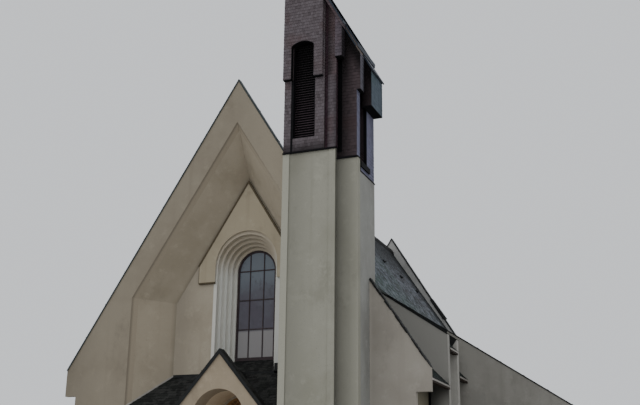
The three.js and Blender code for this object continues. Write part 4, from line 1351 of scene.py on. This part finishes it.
def belfry_openings():
    """Blades of the louvres, black sheets that paint the shade inside the openings, the hood's arch and the
    slot, a black strip that paints a shadow line on the front, and a black plate at the side louvre's sill.
    """
    blades, shade_sheet = Shape(), Shape()
    front, right = front_face(BELFRY_FRONT), side_face(1, BELFRY_RIGHT)
    x0, x1, sill, spring, rise = LOUVRE
    y0, y1, side_sill, side_spring, side_rise = SIDE_LOUVRE
    for plane, opening, depth in (
        (front, LOUVRE, 0.335),
        (back_face(BELFRY_BACK), (-x1, -x0, sill, spring, rise), 0.335),
        (right, SIDE_LOUVRE, 0.255),
        (side_face(-1, BELFRY_LEFT), (-y1, -y0, sill, side_spring, side_rise), 0.255),
    ):
        add_blades(blades, plane, opening, 0.14 - depth, 0.01 - depth)
        # Black sheets inside each opening: painted shade.
        shade_sheet.strip(plane, louvre_arch(*opening), 0, 0.02, -depth, 0.02, closed=True)
    notch = louvre_arch(*HOOD_CUT)
    # Painted shade in the hood's arch and in the slot.
    shade_sheet.strip(front_face(HOOD_FRONT), notch[1:] + notch[:1], 0, 0.02, HOOD_FRONT - BELFRY_FRONT, 0.02)
    slot = front_face(BELFRY_STEP)
    shade_sheet.strip(slot, rectangle(*SLOT), 0, 0.012, -0.18, 0.02, closed=True)
    shade_sheet.box(slot, *SLOT, -0.18, -0.17)
    # Black strip: painted shadow line beside the front's left strip.
    shade_sheet.box(front, *SHADOW_LINE, FOOT_FRONT, HOOD_BASE, 0, 0.012)
    shade_sheet.box(right, y0 - 0.02, y1 + 0.3, side_sill - 0.1, side_sill + 0.16, 0, 0.09)
    shade_sheet.piece("belfry_linings", BLACK_METAL, "dark_metal")
    blades.piece("belfry_blades", BLADES, "dark_metal")


def belfry_drips():
    """Flashing under the cladding and along the undersides of the hoods."""
    tall, proud, thin = 0.07, 0.03, 0.015
    front_low, step_low, back_low = FOOT_FRONT - tall, FOOT_STEP - tall, FOOT_BACK - tall
    front, step, back = front_face(BELFRY_FRONT), front_face(BELFRY_STEP), back_face(BELFRY_BACK)
    hood, side_hood = front_face(HOOD_FRONT), front_face(SIDE_HOOD_FRONT)
    right, left = side_face(1, BELFRY_RIGHT + 0.04), side_face(-1, TOWER_LEFT)
    s0, _, _, slot_top = SLOT
    leg_base, hood_depth = CORNER_LEG_BASE, BELFRY_BACK - SIDE_HOOD_FRONT
    # Plane, both ends, foot, top, inner and outer face.
    boxes = (
        (front, BELFRY_LEFT - 0.01, s0 + 0.02, front_low, FOOT_FRONT, -0.04, proud),
        (step, s0 - 0.04, BELFRY_RIGHT + 0.02, step_low, FOOT_STEP, -0.04, proud),
        (right, BELFRY_STEP - 0.02, RIGHT_DROP + 0.02, step_low, FOOT_STEP, 0, thin),
        (right, RIGHT_DROP, RIGHT_DROP + 0.03, FOOT_BACK, step_low, 0, thin),
        (right, RIGHT_DROP, BELFRY_BACK + 0.02, back_low, FOOT_BACK, 0, thin),
        (left, -LEFT_DROP, -BELFRY_FRONT + 0.02, front_low, FOOT_FRONT, 0, thin),
        (left, -BELFRY_BACK - 0.02, -LEFT_DROP, back_low, FOOT_BACK, 0, thin),
        (left, -LEFT_DROP - 0.03, -LEFT_DROP, FOOT_BACK, front_low, 0, thin),
        (back, -BELFRY_RIGHT - 0.02, 0.02 - BELFRY_LEFT, back_low, FOOT_BACK, -0.04, proud),
        (hood, HOOD_LEFT, HOOD_CUT[0], HOOD_BASE - 0.03, HOOD_BASE, -0.19, thin),
        (hood, HOOD_CUT[1], HOOD_RIGHT, HOOD_BASE - 0.03, HOOD_BASE, -0.19, thin),
        (hood, s0, CORNER_HOOD, slot_top - 0.03, slot_top, -0.38, thin),
        (step, BELFRY_RIGHT, CORNER_LEG, leg_base - 0.03, leg_base, -0.49, thin),
        (side_hood, BELFRY_RIGHT, SIDE_HOOD, SIDE_HOOD_BASE - 0.03, SIDE_HOOD_BASE, -hood_depth, thin),
    )
    shape = Shape()
    for box in boxes:
        shape.box(*box)
    shape.piece("belfry_drips", BLACK_METAL, "dark_metal")


def belfry_roof_edges():
    """Metal along the edges of the belfry's roof and over the side hood."""
    roof = Shape()
    edge = 0.045
    places = (TOP_LEFT - 0.02, TOP_CORNER, TOP_CORNER + 0.02, TOP_RIGHT + 0.04)
    left, inner, corner, right = ((x, height(BELFRY_ROOF, x)) for x in places)
    step = front_face(TOP_STEP)
    roof.strip(step, [inner, right], -0.16, -0.095, 0, 0.02)
    roof.strip(front_face(TOP_FRONT), [left, corner], -edge, 0.02, 0, 0.03)
    roof.strip(step, [left, right], -edge, 0.02, 0, 0.03)
    roof.strip(back_face(TOP_BACK), mirrored([left, right]), -edge, 0.02, 0, 0.03)
    # Side it looks to, place, both ends, depth under the roof's face, rise over it and thickness.
    for sign, x, u0, u1, below, above, thick in (
        (1, TOP_RIGHT, TOP_STEP - 0.035, TOP_BACK + 0.03, 0.2, 0.03, 0.035),
        (1, TOP_CORNER, TOP_FRONT - 0.03, TOP_STEP, 0.12, 0.03, 0.03),
        (-1, TOP_LEFT, -TOP_BACK - 0.03, -TOP_FRONT + 0.03, 0.3, 0.05, 0.03),
    ):
        tip = height(BELFRY_ROOF, x)
        roof.box(side_face(sign, x), u0, u1, tip - below, tip + above, 0, thick)
    hood = [(x, hood_over(x)) for x in (BELFRY_RIGHT, SIDE_HOOD + 0.06)]
    roof.strip(front_face(SIDE_HOOD_FRONT), hood, 0, 0.07, SIDE_HOOD_FRONT - BELFRY_BACK - 0.03, 0.04)
    roof.piece("belfry_roof_edges", ROOF_METAL, "lead_roof")


def belfry_roof_tiles():
    """Shingles on the front edge of the belfry's roof and slates on top."""
    shown, drop = BELFRY_ROOF_THICK, 0.09
    ends = ((TOP_LEFT, shown), (TOP_CORNER, shown), (TOP_CORNER, drop), (TOP_LEFT, drop))
    face = [(x, height(BELFRY_ROOF, x) - z) for x, z in ends]
    tip = height(BELFRY_ROOF, TOP_CORNER)
    side = side_area(1, TOP_CORNER, TOP_FRONT, TOP_STEP, tip - shown, tip - drop, 22)
    shingled("verge", VERGE_SHINGLES, (front_face(TOP_FRONT), [face], 21), side)

    run = math.hypot(1, BELFRY_ROOF[1])
    corners = stepped(TOP_FRONT, TOP_CORNER, TOP_STEP, TOP_RIGHT + 0.01, TOP_BACK, TOP_LEFT)
    top = (roof_face(1, BELFRY_ROOF), [[(y, -x * run) for y, x in corners]], 20)
    slated("belfry_roof_slates", BELFRY_SLATES, top)


for name, sign in SIDES:
    side_roofs(name, sign)
ridge()
snow_hooks()
for name, sign in SIDES:
    downpipe(name, sign)
front_copings()
slate_verge()
for name, sign in SIDES:
    side_copings(name, sign)
rear_coping()
panel_trim()
end_windows()
for name, sign in SIDES:
    wing_windows(name, sign)
lean_to()
lean_to_edges()
porch_roofs()
doors()
fanlight()
belfry_front_shingles()
belfry_corner_shingles()
belfry_wall_shingles()
belfry_openings()
belfry_drips()
belfry_roof_edges()
belfry_roof_tiles()


# Camera and light
CAMERA_PLACE = (20.508, -40.0, 0.4)
CAMERA_TURN = math.radians(21.7368)
CAMERA_TILT = math.radians(90 + 17.6631)
CAMERA_ROLL = math.radians(0.6438)
CAMERA_LENS = 53.53
FLOOR_HALF = 400
LIGHT_AIM = (0, 0, 8)


def make_camera():
    data = bpy.data.cameras.new("camera")
    data.sensor_width = 36
    data.lens = CAMERA_LENS
    data.clip_end = 1000
    camera = bpy.data.objects.new("camera", data)
    turn = Matrix.Rotation(CAMERA_TURN, 4, "Z") @ Matrix.Rotation(CAMERA_TILT, 4, "X")
    camera.matrix_world = Matrix.Translation(CAMERA_PLACE) @ turn @ Matrix.Rotation(CAMERA_ROLL, 4, "Z")
    bpy.context.scene.collection.objects.link(camera)
    bpy.context.scene.camera = camera


def make_stage():
    mesh = bpy.data.meshes.new("stage_floor")
    corners = [(x, y, 0) for x, y in rectangle(-FLOOR_HALF, FLOOR_HALF, -FLOOR_HALF, FLOOR_HALF)]
    mesh.from_pydata(corners, [], [[0, 1, 2, 3]])
    mesh.materials.append(Look("stage_floor", (0.62, 0.62, 0.61), 0.9).material)
    thing = bpy.data.objects.new("stage_floor", mesh)
    bpy.context.scene.collection.objects.link(thing)


def make_light(name, place, energy, angle, colour):
    data = bpy.data.lights.new(name, "SUN")
    data.energy = energy
    data.angle = math.radians(angle)
    data.color = colour
    lamp = bpy.data.objects.new(name, data)
    lamp.location = place
    lamp.rotation_euler = (Vector(LIGHT_AIM) - Vector(place)).to_track_quat("-Z", "Y").to_euler()
    bpy.context.scene.collection.objects.link(lamp)


def make_world():
    world = bpy.data.worlds.new("soft_world")
    world.use_nodes = True
    background = world.node_tree.nodes["Background"]
    background.inputs["Color"].default_value = (0.86, 0.885, 0.92, 1)
    background.inputs["Strength"].default_value = 0.95
    bpy.context.scene.world = world


make_camera()
make_stage()
make_world()
make_light("key_light", (-46, -32, 57), 0.45, 50, (1.0, 0.97, 0.92))
make_light("fill_light", (30, -60, 26), 0.35, 60, (0.97, 0.98, 1.0))
